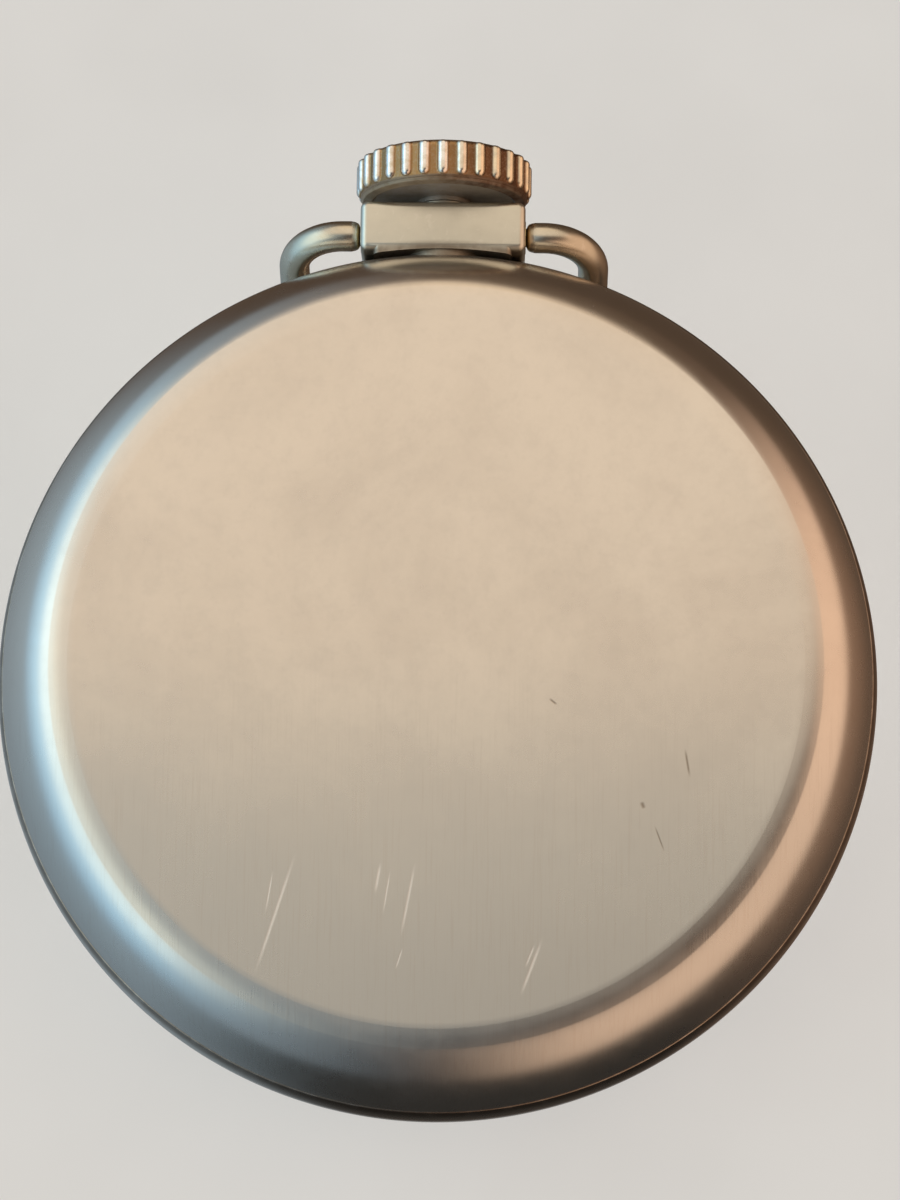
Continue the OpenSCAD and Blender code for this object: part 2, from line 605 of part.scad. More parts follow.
// lever with two arms over the escape wheel and a fork towards the balance
module pallet_fork() color("lightsteelblue") stand() {
  fork = [[0.5, 0.42], [4.2, 0.24], [4.75, 0.5], [5.35, 0.56], [5.35, 0.22], [4.85, 0.2],
    [4.85, -0.2], [5.35, -0.22], [5.35, -0.56], [4.75, -0.5], [4.2, -0.24], [0.5, -0.42]];
  arms = [[0.1, -0.75], [-0.35, -2.45], [-0.92, -2.45], [-0.75, -0.8], [-0.95, 0],
    [-0.75, 0.8], [-0.92, 2.45], [-0.35, 2.45], [0.1, 0.75]];
  at(pallet_at, escape_z[0], fork_turn) difference() {
    linear_extrude(0.25) polygon(concat(fork, arms));
    at_stones(-1) translate([-0.8, -0.17, 0]) cube([1.1, 0.34, 3]);
    translate([-pallet_reach, 0, -1]) cylinder(r=escape_r+0.16, h=3, $fn=96);
  }
  arbor(pallet_at, [[0.1, -2.5, -2.0], [0.26, -2.05, escape_z[0]+0.02],
    [0.26, escape_z[1]-0.02, 0.5], [0.1, 0.45, 1.8]]);
}
module pallet_stones() color("crimson") stand() at(pallet_at, escape_z[0]-0.04, fork_turn)
  at_stones(0) translate([-0.62, -0.16, 0]) cube([0.9, 0.32, 0.33]);

// ================= balance =================
balance_turn = 20;           // direction of the balance's arms
module balance_wheel() color("gold") stand() difference() {
  arm_z = balance_z[0]+0.15;
  union() {
    ring(balance_at, 6.55, 7.4, balance_z[0], balance_z[1]);
    at(balance_at, arm_z, balance_turn) translate([-6.6, -0.45, 0]) cube([13.2, 0.9, 0.35]);
    cyl(balance_at, 1.2, arm_z, arm_z+0.35);
  }
  cyl(balance_at, 0.5, -5, 0);
}
module balance_screws() color("darkgoldenrod") stand() for (i = [0:15])
  at(balance_at, (balance_z[0]+balance_z[1])/2, balance_turn+22.5*i)
    rotate([0, 90, 0]) difference() {
      translate([0, 0, 7.42]) cylinder(r=0.34, h=0.72, $fn=24);
      translate([0, 0, 8.15]) rotate([0, 0, 40]) cube([1, 0.1, 0.2], center=true);
    }
module balance_staff() color("lightsteelblue") stand() arbor(balance_at,
  [[0.1, -4.68, -4.1], [0.3, -4.15, -2.82], [0.49, -3.25, -2.8], [0.7, -2.85, -2.65],
   [0.34, -2.7, 0.3], [0.1, 0.25, 1.8]]);
module roller() color("slategray") stand() difference() {
  union() {
    cyl(balance_at, 1.45, -1.4, -1.12);
    cyl(balance_at, 0.75, -1.15, -0.66);
    cyl(balance_at+polar(0.98, fork_turn+180), 0.16, -1.15, -0.98);    // pin by the fork
  }
  cyl(balance_at, 0.35, -5, 5);
}
module hairspring() color("steelblue") stand() at(balance_at) {
  translate([0, 0, hairspring_z[0]]) linear_extrude(hairspring_z[1]-hairspring_z[0])
    polygon(coil(0.85, 3.5, hairspring_turns, 0.09, heading(balance_at, cock_foot_at)));
  translate([0, 0, -3.82]) difference() {              // collet
    cylinder(r=0.9, h=0.32, $fn=32);
    translate([0, 0, -1]) cylinder(r=0.31, h=3, $fn=32);
  }
}
module regulator() color("lightsteelblue") stand() difference() {
  back = -4.95;
  pin_turn = cock_turn-50;
  union() {
    cyl(balance_at, 1.95, back, -4.72);
    at(balance_at, back, cock_turn+25) linear_extrude(0.23)            // pointer
      polygon([[1.2, 0.8], [4.0, 0.28], [6.6, 0.1], [6.9, 0], [6.6, -0.1], [4.0, -0.28],
        [1.2, -0.8]]);
    at(balance_at, back, pin_turn) linear_extrude(0.23)                // arm of the pins
      polygon([[1.2, 0.7], [3.9, 0.45], [3.9, -0.45], [1.2, -0.7]]);
    for (reach = [3.11, 3.47]) cyl(balance_at+polar(reach, pin_turn), 0.09, -4.8, -3.58);
  }
  cyl(balance_at, 1.32, -6, 0);
}
module endstone() color("crimson") stand() cyl(balance_at, 1.28, -5.0, -4.72);
module jewels() color("crimson") stand() {
  for (place = [third_at, fourth_at, escape_at]) ring(place, 0.17, 0.9, -3.95, -3.55);
  ring(center_at, 0.33, 0.9, -3.95, -3.55);
  ring(pallet_at, 0.13, 0.49, -2.5, -2.2);
  ring(balance_at, 0.13, 0.74, -4.5, -4.15);
  for (place = [third_at, escape_at, pallet_at, balance_at]) ring(place, 0.16, 0.71, 1.3, 1.7);
  ring(fourth_at, 0.24, 0.71, 1.3, 1.7);
}
module plate_screws() color("steelblue") stand() {
  screw(setting_screw_at, 0.75, 2.43, 2.8, 0.38, 1.1, 20);
  screw(clutch_screw_at, 0.75, 2.43, 2.8, 0.38, 1.1, 70);
  screw(setting_at, 1.0, 2.5, 2.82, 0.26, 1.6, 110);
  for (i = [0:len(plate_screw_table)-1]) let(row = plate_screw_table[i])
    screw(row[0], row[1]*0.97, row[2]-0.02, row[2]-row[3], 0.45, 1.8, 37*i);
}

// ================= dial side =================
module cannon_pinion() color("lightsteelblue") stand() difference() {
  union() {
    gear(center_at, cannon_n, setting_mod,
      mesh_phase(minute_at, center_at, minute_n, cannon_n), 2.1, 2.5);
    cyl(center_at, 0.74, 2.4, 4.4);
  }
  cyl(center_at, 0.47, 0, 6);
}
module minute_wheel() color("goldenrod") stand() difference() {
  union() {
    gear(minute_at, minute_n, setting_mod, 0, 2.14, 2.48);
    gear(minute_at, minute_leaves, hour_mod, 0, 2.45, 2.88);
  }
  cyl(minute_at, 0.42, 0, 4);
}
module hour_wheel() color("goldenrod") stand() difference() {
  union() {
    gear(center_at, hour_n, hour_mod,
      mesh_phase(minute_at, center_at, minute_leaves, hour_n), 2.56, 2.82);
    cyl(center_at, 1.15, 2.8, 4.02);
  }
  cyl(center_at, 0.8, 0, 6);
}
module setting_wheel() color("lightsteelblue") stand() difference() {
  gear(setting_at, setting_n, setting_mod,
    mesh_phase(minute_at, setting_at, minute_n, setting_n), 1.46, 2.46);
  cyl(setting_at, 0.62, 0, 4);
}
// flat lever turning on a screw, with a pin down from it to pin_back
module lever(screw_at, outline, pin_at, pin_r, pin_back) difference() {
  union() {
    cyl(screw_at, 0.95, lever_z[0], lever_z[1]);
    translate([0, 0, lever_z[0]]) linear_extrude(0.35) polygon(outline);
    cyl(pin_at, pin_r, pin_back, 2.1);
  }
  cyl(screw_at, 0.42, 0, 4);
}
module setting_lever() color("lightsteelblue") stand() lever(setting_screw_at,
  [[-3, 20.05], [-3, 18.25], [-1, 19.1], [0.38, 19.3], [0.38, 20.0], [-1, 20.2]],
  [0, 19.65], 0.26, 0.62);
module clutch_lever() color("lightsteelblue") stand() lever(clutch_screw_at,
  [[4.3, 18.1], [5.1, 17.0], [3.6, 15.8], [0.3, 15.48], [-0.3, 15.5], [-0.3, 16.1],
   [0.3, 16.12], [2.6, 16.9]],
  [0, 15.8], 0.27, 1.0);
// thin bowed spring that presses on the clutch lever
module clutch_spring() color("steelblue") stand() {
  steps = 12;
  translate([0, 0, 2.05]) linear_extrude(0.3) polygon(concat(
    [for (i = [0:steps]) [9.4-5.9*i/steps, 13.2+1.4*i/steps+1.4*sin(180*i/steps)]],
    [for (i = [steps:-1:0]) [9.4-5.9*i/steps, 12.85+1.5*i/steps+1.4*sin(180*i/steps)]]));
  cyl([9.6, 13.0], 0.9, 2.02, 2.4);
}
module dial() color("ivory") stand() difference() {
  union() {
    cyl(center_at, dial_d/2, dial_z[0], dial_z[1]);
    for (turn = dial_foot_turns) cyl(polar(dial_foot_r, turn), 0.5, 0.6, dial_z[0]+0.05);
  }
  cyl(center_at, 1.35, 0, 6);
  cyl(fourth_at, 4.8, dial_z[1]-0.14, 6);              // sunk seconds dial
  cyl(fourth_at, 0.45, 0, 6);
}
module dial_foot_screws() color("steelblue") stand() for (turn = dial_foot_turns)
  at(center_at, 0, turn) translate([19.12, 0, 1.05]) rotate([0, 90, 0]) difference() {
    union() {
      cylinder(r=0.4, h=0.9, $fn=24);
      translate([0, 0, 0.76]) cylinder(r=0.68, h=0.3, $fn=32);
    }
    translate([0, 0, 1.06]) cube([0.16, 2, 0.3], center=true);
  }
// right half of a spade hand along +y: stem widening into a spade, ending in a point
function half_spade(length, stem, blade) = [[0.28*stem, 0], [0.17*stem, length-2.9*stem],
  [0.5*stem, length-2.75*stem], [1.15*blade, length-2.3*stem], [1.3*blade, length-1.75*stem],
  [0.95*blade, length-1.25*stem], [0.35*blade, length-0.95*stem],
  [0.09*stem, length-0.6*stem], [0.04, length]];
// hand turned clockwise from 12; stem and blade scale its outline
module spade_hand(clockwise, back, hub_r, bore_r, length, stem, blade) {
  half = half_spade(length, stem, blade);
  rotate([0, 0, -clockwise]) difference() {
    union() {
      cyl(center_at, hub_r, back, back+0.16);
      translate([0, 0, back]) linear_extrude(0.16) polygon(concat(half,
        [for (i = [len(half)-1:-1:0]) [-half[i][0], half[i][1]]]));
    }
    cyl(center_at, bore_r, 0, 6);
  }
}
module hour_hand() color("midnightblue") stand()
  spade_hand(304, back=3.84, hub_r=1.5, bore_r=1.17, length=hour_len, stem=1.3, blade=1.25);
module minute_hand() color("midnightblue") stand()
  spade_hand(48, back=4.2, hub_r=1.15, bore_r=0.76, length=minute_len, stem=1.2, blade=0.8);
module seconds_hand() color("midnightblue") stand() at(fourth_at, 0, -130) difference() {
  union() {
    cyl([0, 0], 0.5, 3.56, 3.74);
    translate([0, 0, 3.6]) linear_extrude(0.12)
      polygon([[0.14, -1.4], [0.07, seconds_len], [-0.07, seconds_len], [-0.14, -1.4]]);
  }
  cyl([0, 0], 0.21, 0, 6);
}

case_center();
pendant();
pendant_sleeve();
bow_bushes();
bow();
crown();
stem();
back_cover();
bezel();
crystal();
case_screws();
dial();
dial_foot_screws();
hour_hand();
minute_hand();
seconds_hand();
hour_wheel();
cannon_pinion();
minute_wheel();
setting_wheel();
setting_lever();
clutch_lever();
clutch_spring();
sliding_clutch();
winding_pinion();
main_plate();
barrel_bridge();
train_bridge();
balance_cock();
pallet_bridge();
barrel();
barrel_cover();
barrel_arbor();
mainspring();
ratchet_wheel();
ratchet_screw();
crown_wheel();
crown_wheel_screw();
winding_wheel();
click();
click_spring();
center_wheel();
center_arbor();
third_wheel();
third_arbor();
fourth_wheel();
fourth_arbor();
escape_wheel();
escape_arbor();
pallet_fork();
pallet_stones();
balance_wheel();
balance_screws();
balance_staff();
roller();
hairspring();
regulator();
endstone();
jewels();
plate_screws();
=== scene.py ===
import bpy, bmesh, math
from math import sin, cos, pi, radians, sqrt
from mathutils import Vector, Matrix, Quaternion

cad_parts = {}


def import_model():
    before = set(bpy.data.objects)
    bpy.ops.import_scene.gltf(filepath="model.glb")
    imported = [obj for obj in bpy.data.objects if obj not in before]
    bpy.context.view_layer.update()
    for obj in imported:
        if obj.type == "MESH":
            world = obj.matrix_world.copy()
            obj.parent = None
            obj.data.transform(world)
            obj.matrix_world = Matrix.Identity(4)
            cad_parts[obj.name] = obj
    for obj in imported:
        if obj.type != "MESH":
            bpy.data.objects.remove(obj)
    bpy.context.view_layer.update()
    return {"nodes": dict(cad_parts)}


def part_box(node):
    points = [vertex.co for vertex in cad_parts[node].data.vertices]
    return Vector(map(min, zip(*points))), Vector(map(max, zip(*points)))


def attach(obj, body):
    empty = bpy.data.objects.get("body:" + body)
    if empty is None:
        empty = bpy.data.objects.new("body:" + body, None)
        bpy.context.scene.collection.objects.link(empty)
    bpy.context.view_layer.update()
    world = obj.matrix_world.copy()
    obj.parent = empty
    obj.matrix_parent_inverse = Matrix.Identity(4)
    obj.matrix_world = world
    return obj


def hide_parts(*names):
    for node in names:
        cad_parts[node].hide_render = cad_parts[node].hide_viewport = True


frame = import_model()
nodes = frame["nodes"]
MM = 0.001


# ---------------------------------------------------------------- node helper
class Mat:
    """A material built node by node. Coordinates are the row frame's, in millimetres."""

    def __init__(self, name):
        self.m = bpy.data.materials.new(name)
        self.m.use_nodes = True
        self.t = self.m.node_tree
        self.t.nodes.clear()
        self.out = self.n("ShaderNodeOutputMaterial")
        self.b = self.n("ShaderNodeBsdfPrincipled")
        self.t.links.new(self.b.outputs[0], self.out.inputs[0])
        tc = self.n("ShaderNodeTexCoord")
        self.geo = self.n("ShaderNodeNewGeometry")
        self.mm = self.vmath("SCALE", tc.outputs["Object"], scale=1000.0)

    def n(self, kind, **props):
        node = self.t.nodes.new(kind)
        for k, v in props.items():
            setattr(node, k, v)
        return node

    def put(self, socket, value):
        if isinstance(value, bpy.types.NodeSocket):
            self.t.links.new(value, socket)
        elif value is not None:
            if isinstance(value, (tuple, list)) and socket.type == "RGBA" and len(value) == 3:
                value = tuple(value) + (1.0,)
            socket.default_value = value

    def vmath(self, op, a, b=None, scale=None):
        n = self.n("ShaderNodeVectorMath", operation=op)
        self.put(n.inputs[0], a)
        if b is not None:
            self.put(n.inputs[1], b)
        if scale is not None:
            self.put(n.inputs["Scale"], scale)
        return n.outputs["Value"] if op in ("LENGTH", "DOT_PRODUCT", "DISTANCE") else n.outputs["Vector"]

    def math(self, op, a, b=None, c=None, clamp=False):
        n = self.n("ShaderNodeMath", operation=op, use_clamp=clamp)
        self.put(n.inputs[0], a)
        if b is not None:
            self.put(n.inputs[1], b)
        if c is not None:
            self.put(n.inputs[2], c)
        return n.outputs[0]

    def xyz(self, v):
        n = self.n("ShaderNodeSeparateXYZ")
        self.put(n.inputs[0], v)
        return n.outputs[0], n.outputs[1], n.outputs[2]

    def vec(self, x, y, z):
        n = self.n("ShaderNodeCombineXYZ")
        for i, v in enumerate((x, y, z)):
            self.put(n.inputs[i], v)
        return n.outputs[0]

    def mapping(self, v, loc=(0, 0, 0), rot=(0, 0, 0), scale=(1, 1, 1)):
        n = self.n("ShaderNodeMapping")
        self.put(n.inputs["Vector"], v)
        n.inputs["Location"].default_value = loc
        n.inputs["Rotation"].default_value = rot
        n.inputs["Scale"].default_value = scale
        return n.outputs[0]

    def noise(self, v, scale=1.0, detail=4.0, rough=0.55, dist=0.0):
        n = self.n("ShaderNodeTexNoise")
        self.put(n.inputs["Vector"], v)
        n.inputs["Scale"].default_value = scale
        n.inputs["Detail"].default_value = detail
        n.inputs["Roughness"].default_value = rough
        n.inputs["Distortion"].default_value = dist
        return n.outputs["Fac"] if "Fac" in n.outputs else n.outputs[0]

    def voronoi(self, v, scale=1.0, feature="F1"):
        n = self.n("ShaderNodeTexVoronoi", feature=feature)
        self.put(n.inputs["Vector"], v)
        n.inputs["Scale"].default_value = scale
        return n.outputs["Distance"]

    def step(self, x, lo, hi, a=0.0, b=1.0):
        n = self.n("ShaderNodeMapRange", interpolation_type="SMOOTHSTEP")
        self.put(n.inputs["Value"], x)
        self.put(n.inputs["From Min"], lo)
        self.put(n.inputs["From Max"], hi)
        self.put(n.inputs["To Min"], a)
        self.put(n.inputs["To Max"], b)
        return n.outputs["Result"]

    def mix(self, f, a, b, blend="MIX"):
        n = self.n("ShaderNodeMix", data_type="RGBA", blend_type=blend)
        self.put(n.inputs[0], f)
        self.put(n.inputs[6], a)
        self.put(n.inputs[7], b)
        return n.outputs[2]

    def bump(self, h, strength=0.2, dist=0.00002, normal=None):
        n = self.n("ShaderNodeBump")
        self.put(n.inputs["Height"], h)
        n.inputs["Strength"].default_value = strength
        n.inputs["Distance"].default_value = dist
        if normal is not None:
            self.put(n.inputs["Normal"], normal)
        return n.outputs[0]

    def set(self, **kw):
        for k, v in kw.items():
            self.put(self.b.inputs[k.replace("_", " ")], v)
        return self.m

    # distance in mm, on the back's plane, from a straight scratch a-b, with its ends faded
    def scratch(self, x, z, a, b, w):
        ax, az = a
        bx, bz = b
        L = math.hypot(bx - ax, bz - az)
        ux, uz = (bx - ax) / L, (bz - az) / L
        px = self.math("SUBTRACT", x, ax)
        pz = self.math("SUBTRACT", z, az)
        along = self.math("ADD", self.math("MULTIPLY", px, ux), self.math("MULTIPLY", pz, uz))
        off = self.math("ABSOLUTE", self.math("SUBTRACT", self.math("MULTIPLY", px, uz), self.math("MULTIPLY", pz, ux)))
        line = self.step(off, 0.0, w, 1.0, 0.0)
        e0 = self.step(along, 0.0, L * 0.35)
        e1 = self.step(along, L * 0.65, L, 1.0, 0.0)
        return self.math("MULTIPLY", line, self.math("MULTIPLY", e0, e1))

    # straight hairlines at an angle (degrees, in the x-z plane), spacing about 1/density mm
    def hairs(self, angle, density, length, lo, hi, seed):
        v = self.mapping(self.mm, rot=(0, radians(angle), 0))
        v = self.mapping(v, loc=(seed, seed * 0.37, -seed), scale=(density, 0.3, 1.0 / length))
        return self.step(self.noise(v, 1.0, 2.0, 0.5), lo, hi)


def edge_wear(M, lo=0.56, hi=0.68):
    """Brighter rubbed patches."""
    return M.step(M.noise(M.mm, 1.9, 5.0, 0.65, 0.6), lo, hi, 0.0, 0.6)


def steel(name, base, dark, rough=(0.26, 0.42), grain=None, wear=0.35, warm=None, scratches=True, bump=0.18,
          grain_dir=(0, 0, 0), blotch=0.16):
    """Satin metal: cloudy patina, directional grain, crossing hairlines and brighter worn patches."""
    M = Mat(name)
    cloud = M.noise(M.mm, blotch, 5.0, 0.6, 0.4)
    fine = M.noise(M.mm, 1.7, 4.0, 0.6)
    g = M.noise(M.mapping(M.mm, rot=grain_dir, scale=grain or (9.0, 9.0, 0.5)), 1.0, 3.0, 0.6)
    c = M.mix(M.step(cloud, 0.35, 0.7), base, dark)
    c = M.mix(M.math("MULTIPLY", M.step(fine, 0.45, 0.75), 0.3), c, dark)
    if warm is not None:
        c = M.mix(M.math("MULTIPLY", M.step(M.noise(M.mm, 0.31, 3.0), 0.5, 0.75), 0.5), c, warm)
    r = M.math("ADD", M.step(cloud, 0.3, 0.75, rough[0], rough[1]), M.step(g, 0.35, 0.65, -0.05, 0.05))
    h = M.math("MULTIPLY", g, 0.5)
    if scratches:
        hs = None
        for ang, den, ln, lo, hi, seed in ((4, 7, 9, 0.66, 0.72, 3.1), (-38, 6, 6, 0.68, 0.73, 7.7),
                                           (63, 6.5, 7, 0.69, 0.74, 12.3), (88, 8, 5, 0.69, 0.73, 21.0)):
            k = M.hairs(ang, den, ln, lo, hi, seed)
            hs = k if hs is None else M.math("MAXIMUM", hs, k)
        c = M.mix(M.math("MULTIPLY", hs, 0.35), c, (0.93, 0.91, 0.87))
        r = M.math("SUBTRACT", r, M.math("MULTIPLY", hs, 0.06))
        h = M.math("SUBTRACT", h, M.math("MULTIPLY", hs, 0.6))
    if wear:
        c = M.mix(M.math("MULTIPLY", edge_wear(M), wear), c, (0.9, 0.88, 0.84))
    M.set(Base_Color=c, Metallic=1.0, Roughness=r, Normal=M.bump(h, bump, 0.00001))
    return M


def polished(name, base, rough=0.14, grain=0.06, tint=None, coat=0.0):
    M = Mat(name)
    n1 = M.noise(M.mm, 0.9, 4.0, 0.55)
    n2 = M.noise(M.mapping(M.mm, scale=(14, 14, 14)), 1.0, 2.0)
    c = M.mix(M.step(n1, 0.35, 0.7), base, tint or tuple(v * 0.86 for v in base))
    r = M.math("ADD", M.step(n1, 0.3, 0.7, rough, rough + grain), M.math("MULTIPLY", n2, 0.03))
    c = M.mix(M.math("MULTIPLY", edge_wear(M), 0.3), c, tuple(min(1, v * 1.25 + 0.05) for v in base))
    M.set(Base_Color=c, Metallic=1.0, Roughness=r, Normal=M.bump(n2, 0.08, 0.000004))
    if coat:
        M.set(Coat_Weight=coat)
    return M


def circular(name, base, center, rough=0.24, tint=None):
    """Circular graining round an arbor at center (row frame, mm, x and z)."""
    M = Mat(name)
    x, y, z = M.xyz(M.mm)
    dx, dz = M.math("SUBTRACT", x, center[0]), M.math("SUBTRACT", z, center[1])
    r = M.math("SQRT", M.math("ADD", M.math("MULTIPLY", dx, dx), M.math("MULTIPLY", dz, dz)))
    g = M.noise(M.vec(M.math("MULTIPLY", r, 16.0), M.math("MULTIPLY", y, 2.0), 0.0), 1.0, 3.0, 0.6)
    cl = M.noise(M.mm, 0.6, 4.0)
    c = M.mix(M.step(cl, 0.35, 0.7), base, tint or tuple(v * 0.8 for v in base))
    M.set(Base_Color=c, Metallic=1.0, Roughness=M.math("ADD", M.step(g, 0.3, 0.7, rough - 0.05, rough + 0.07), 0.0),
          Normal=M.bump(g, 0.25, 0.000008))
    return M


def striped(name, base, tint, width=1.6, angle=30):
    """Plates: broad polished stripes laid at an angle, each with its own fine cross grain."""
    M = Mat(name)
    v = M.mapping(M.mm, rot=(0, radians(angle), 0))
    x, y, z = M.xyz(v)
    s = M.math("FRACT", M.math("DIVIDE", x, width))
    arc = M.math("ABSOLUTE", M.math("SUBTRACT", s, 0.5))
    curve = M.math("ADD", z, M.math("MULTIPLY", arc, 1.2))
    g = M.noise(M.vec(M.math("MULTIPLY", arc, 1.5), y, M.math("MULTIPLY", curve, 9.0)), 1.0, 3.0, 0.6)
    cl = M.noise(M.mm, 0.25, 4.0)
    c = M.mix(M.step(s, 0.1, 0.9), base, tint)
    c = M.mix(M.math("MULTIPLY", M.step(cl, 0.4, 0.7), 0.3), c, tuple(q * 0.8 for q in tint))
    ny = M.math("ABSOLUTE", M.xyz(M.geo.outputs["Normal"])[1])
    flat = M.step(ny, 0.8, 0.95)
    h = M.math("MULTIPLY", M.math("ADD", M.math("MULTIPLY", s, 1.4), M.math("MULTIPLY", g, 0.5)), flat)
    c = M.mix(M.math("MULTIPLY", edge_wear(M), 0.5), c, (0.95, 0.93, 0.88))
    M.set(Base_Color=c, Metallic=1.0, Roughness=M.step(g, 0.3, 0.7, 0.2, 0.34), Normal=M.bump(h, 0.35, 0.00002))
    return M


# ---------------------------------------------------------------- mesh helpers
COL = bpy.context.scene.collection
R = 25.5
RB = R - 0.42
PIVOT = 26.55
BLOCK_W, BLOCK_T = 9.7, 4.9
BACK_H, BEZEL_H, CRYSTAL_H = 6.1, 6.2, 7.2


def row(p):
    """The watch's own drawing frame (x to 3, y to 12, z to the dial, mm) to the row frame in metres."""
    return (p[0] * MM, -p[2] * MM, p[1] * MM)


def shade(me, angle=32):
    for p in me.polygons:
        p.use_smooth = True
    me.set_sharp_from_angle(angle=radians(angle))


def build(name, verts, faces, angle=32, weld=2e-8):
    me = bpy.data.meshes.new(name)
    me.from_pydata([row(v) for v in verts], [], faces)
    bm = bmesh.new()
    bm.from_mesh(me)
    bmesh.ops.remove_doubles(bm, verts=bm.verts, dist=weld)
    bmesh.ops.recalc_face_normals(bm, faces=bm.faces)
    bm.to_mesh(me)
    bm.free()
    shade(me, angle)
    ob = bpy.data.objects.new(name, me)
    COL.objects.link(ob)
    return ob


def lathe(name, prof, n=288, angle=32):
    """A closed profile of (r, z) turned about the watch's axis."""
    m = len(prof)
    V = [(r * cos(2 * pi * i / n), r * sin(2 * pi * i / n), z) for i in range(n) for r, z in prof]
    F = [(i * m + j, i * m + (j + 1) % m, ((i + 1) % n) * m + (j + 1) % m, ((i + 1) % n) * m + j)
         for i in range(n) for j in range(m)]
    return build(name, V, F, angle)


def fillet(pts, n=5):
    """pts of (r, z) or (r, z, radius): the marked corners are rounded."""
    out = []
    for i, p in enumerate(pts):
        if len(p) < 3:
            out.append((p[0], p[1]))
            continue
        a, b, c = Vector(pts[i - 1][:2]), Vector(p[:2]), Vector(pts[(i + 1) % len(pts)][:2])
        u, v = a - b, c - b
        lu, lv = u.length, v.length
        u, v = u / lu, v / lv
        ang = math.acos(max(-1.0, min(1.0, u.dot(v))))
        t = min(p[2] / math.tan(ang / 2), 0.49 * lu, 0.49 * lv)
        for k in range(n + 1):
            s = k / n
            q = (b + u * t) * (1 - s) ** 2 + b * 2 * s * (1 - s) + (b + v * t) * s * s
            out.append((q.x, q.y))
    return out


def quarter(c, a, b, e, n, s, i0=0, i1=None):
    out = []
    for i in range(i0, (n if i1 is None else i1) + 1):
        t = pi / 2 * i / n
        out.append((c[0] + a * max(cos(t), 0.0) ** (2 / e), c[1] + s * b * max(sin(t), 0.0) ** (2 / e)))
    return out


def dome(r, z, s, n):
    return [(r * (1 - i / n), z + s * (1 - (1 - i / n) ** 2)) for i in range(n + 1)]


def extrude(name, outline, z0, z1, soft=0.0, angle=32, holes=()):
    """A flat outline of (x, y) pulled from z0 to z1, its edges broken by soft."""
    bm = bmesh.new()
    edges = []
    for ring in [outline] + list(holes):
        vs = [bm.verts.new(row((x, y, z0))) for x, y in ring]
        edges += [bm.edges.new((vs[i - 1], vs[i])) for i in range(len(vs))]
    bmesh.ops.triangle_fill(bm, edges=edges, use_beauty=True, use_dissolve=False)
    g = bmesh.ops.extrude_face_region(bm, geom=list(bm.faces))
    d = Vector(row((0, 0, z1))) - Vector(row((0, 0, z0)))
    bmesh.ops.translate(bm, verts=[v for v in g["geom"] if isinstance(v, bmesh.types.BMVert)], vec=d)
    bmesh.ops.recalc_face_normals(bm, faces=bm.faces)
    if soft:
        rim = [e for e in bm.edges if len(e.link_faces) == 2 and e.calc_face_angle(0) > radians(50)
               and abs(e.verts[0].co.y - e.verts[1].co.y) < 1e-9]
        bmesh.ops.bevel(bm, geom=rim, offset=soft * MM, segments=2, profile=0.5, affect="EDGES", clamp_overlap=True)
    me = bpy.data.meshes.new(name)
    bm.to_mesh(me)
    bm.free()
    shade(me, angle)
    ob = bpy.data.objects.new(name, me)
    COL.objects.link(ob)
    return ob


def block(name, lo, hi, soft=0.0, seg=5, angle=32):
    """A box from lo to hi (drawing frame) with rounded edges."""
    bm = bmesh.new()
    bmesh.ops.create_cube(bm, size=1.0)
    a, b = Vector(row(lo)), Vector(row(hi))
    mid, dim = (a + b) / 2, Vector([abs(v) for v in (b - a)])
    for v in bm.verts:
        v.co = Vector((v.co.x * dim.x, v.co.y * dim.y, v.co.z * dim.z)) + mid
    if soft:
        bmesh.ops.bevel(bm, geom=list(bm.edges), offset=soft * MM, segments=seg, profile=0.5, affect="EDGES",
                        clamp_overlap=True)
    me = bpy.data.meshes.new(name)
    bm.to_mesh(me)
    bm.free()
    shade(me, angle)
    ob = bpy.data.objects.new(name, me)
    COL.objects.link(ob)
    return ob


def tube(name, path, radii, n=28, angle=40):
    """A round section swept along path (drawing frame), one radius a point, closed at both ends."""
    P = [Vector(p) for p in path]
    V, F = [], []
    up = Vector((0, 0, 1))
    for i, p in enumerate(P):
        t = (P[min(i + 1, len(P) - 1)] - P[max(i - 1, 0)]).normalized()
        a = up.cross(t)
        a = a.normalized() if a.length > 1e-6 else Vector((1, 0, 0))
        b = t.cross(a).normalized()
        up = b if i else b
        for k in range(n):
            w = 2 * pi * k / n
            V.append(p + (a * cos(w) + b * sin(w)) * radii[i])
        up = t.cross(a).normalized()
    for i in range(len(P) - 1):
        for k in range(n):
            F.append((i * n + k, i * n + (k + 1) % n, (i + 1) * n + (k + 1) % n, (i + 1) * n + k))
    F.append(tuple(range(n - 1, -1, -1)))
    F.append(tuple((len(P) - 1) * n + k for k in range(n)))
    return build(name, V, F, angle)


def rod(name, r, a, b, n=64):
    """A plain round cutter from a to b (drawing frame)."""
    return tube(name, [a, b], [r, r], n)


def cut(ob, *cutters, mode="DIFFERENCE"):
    for c in cutters:
        m = ob.modifiers.new("cut", "BOOLEAN")
        m.operation = mode
        m.solver = "EXACT"
        m.object = c
    bpy.context.view_layer.update()
    dg = bpy.context.evaluated_depsgraph_get()
    me = bpy.data.meshes.new_from_object(ob.evaluated_get(dg))
    me.name = ob.name
    ob.modifiers.clear()
    old = ob.data
    ob.data = me
    bpy.data.meshes.remove(old)
    for c in cutters:
        d = c.data
        bpy.data.objects.remove(c)
        bpy.data.meshes.remove(d)
    shade(ob.data, 32)
    return ob


def piece(ob, body, slot, mat, *stands_for):
    ob.data.materials.clear()
    ob.data.materials.append(mat)
    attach(ob, body)
    if stands_for:
        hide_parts(*stands_for)
    return ob


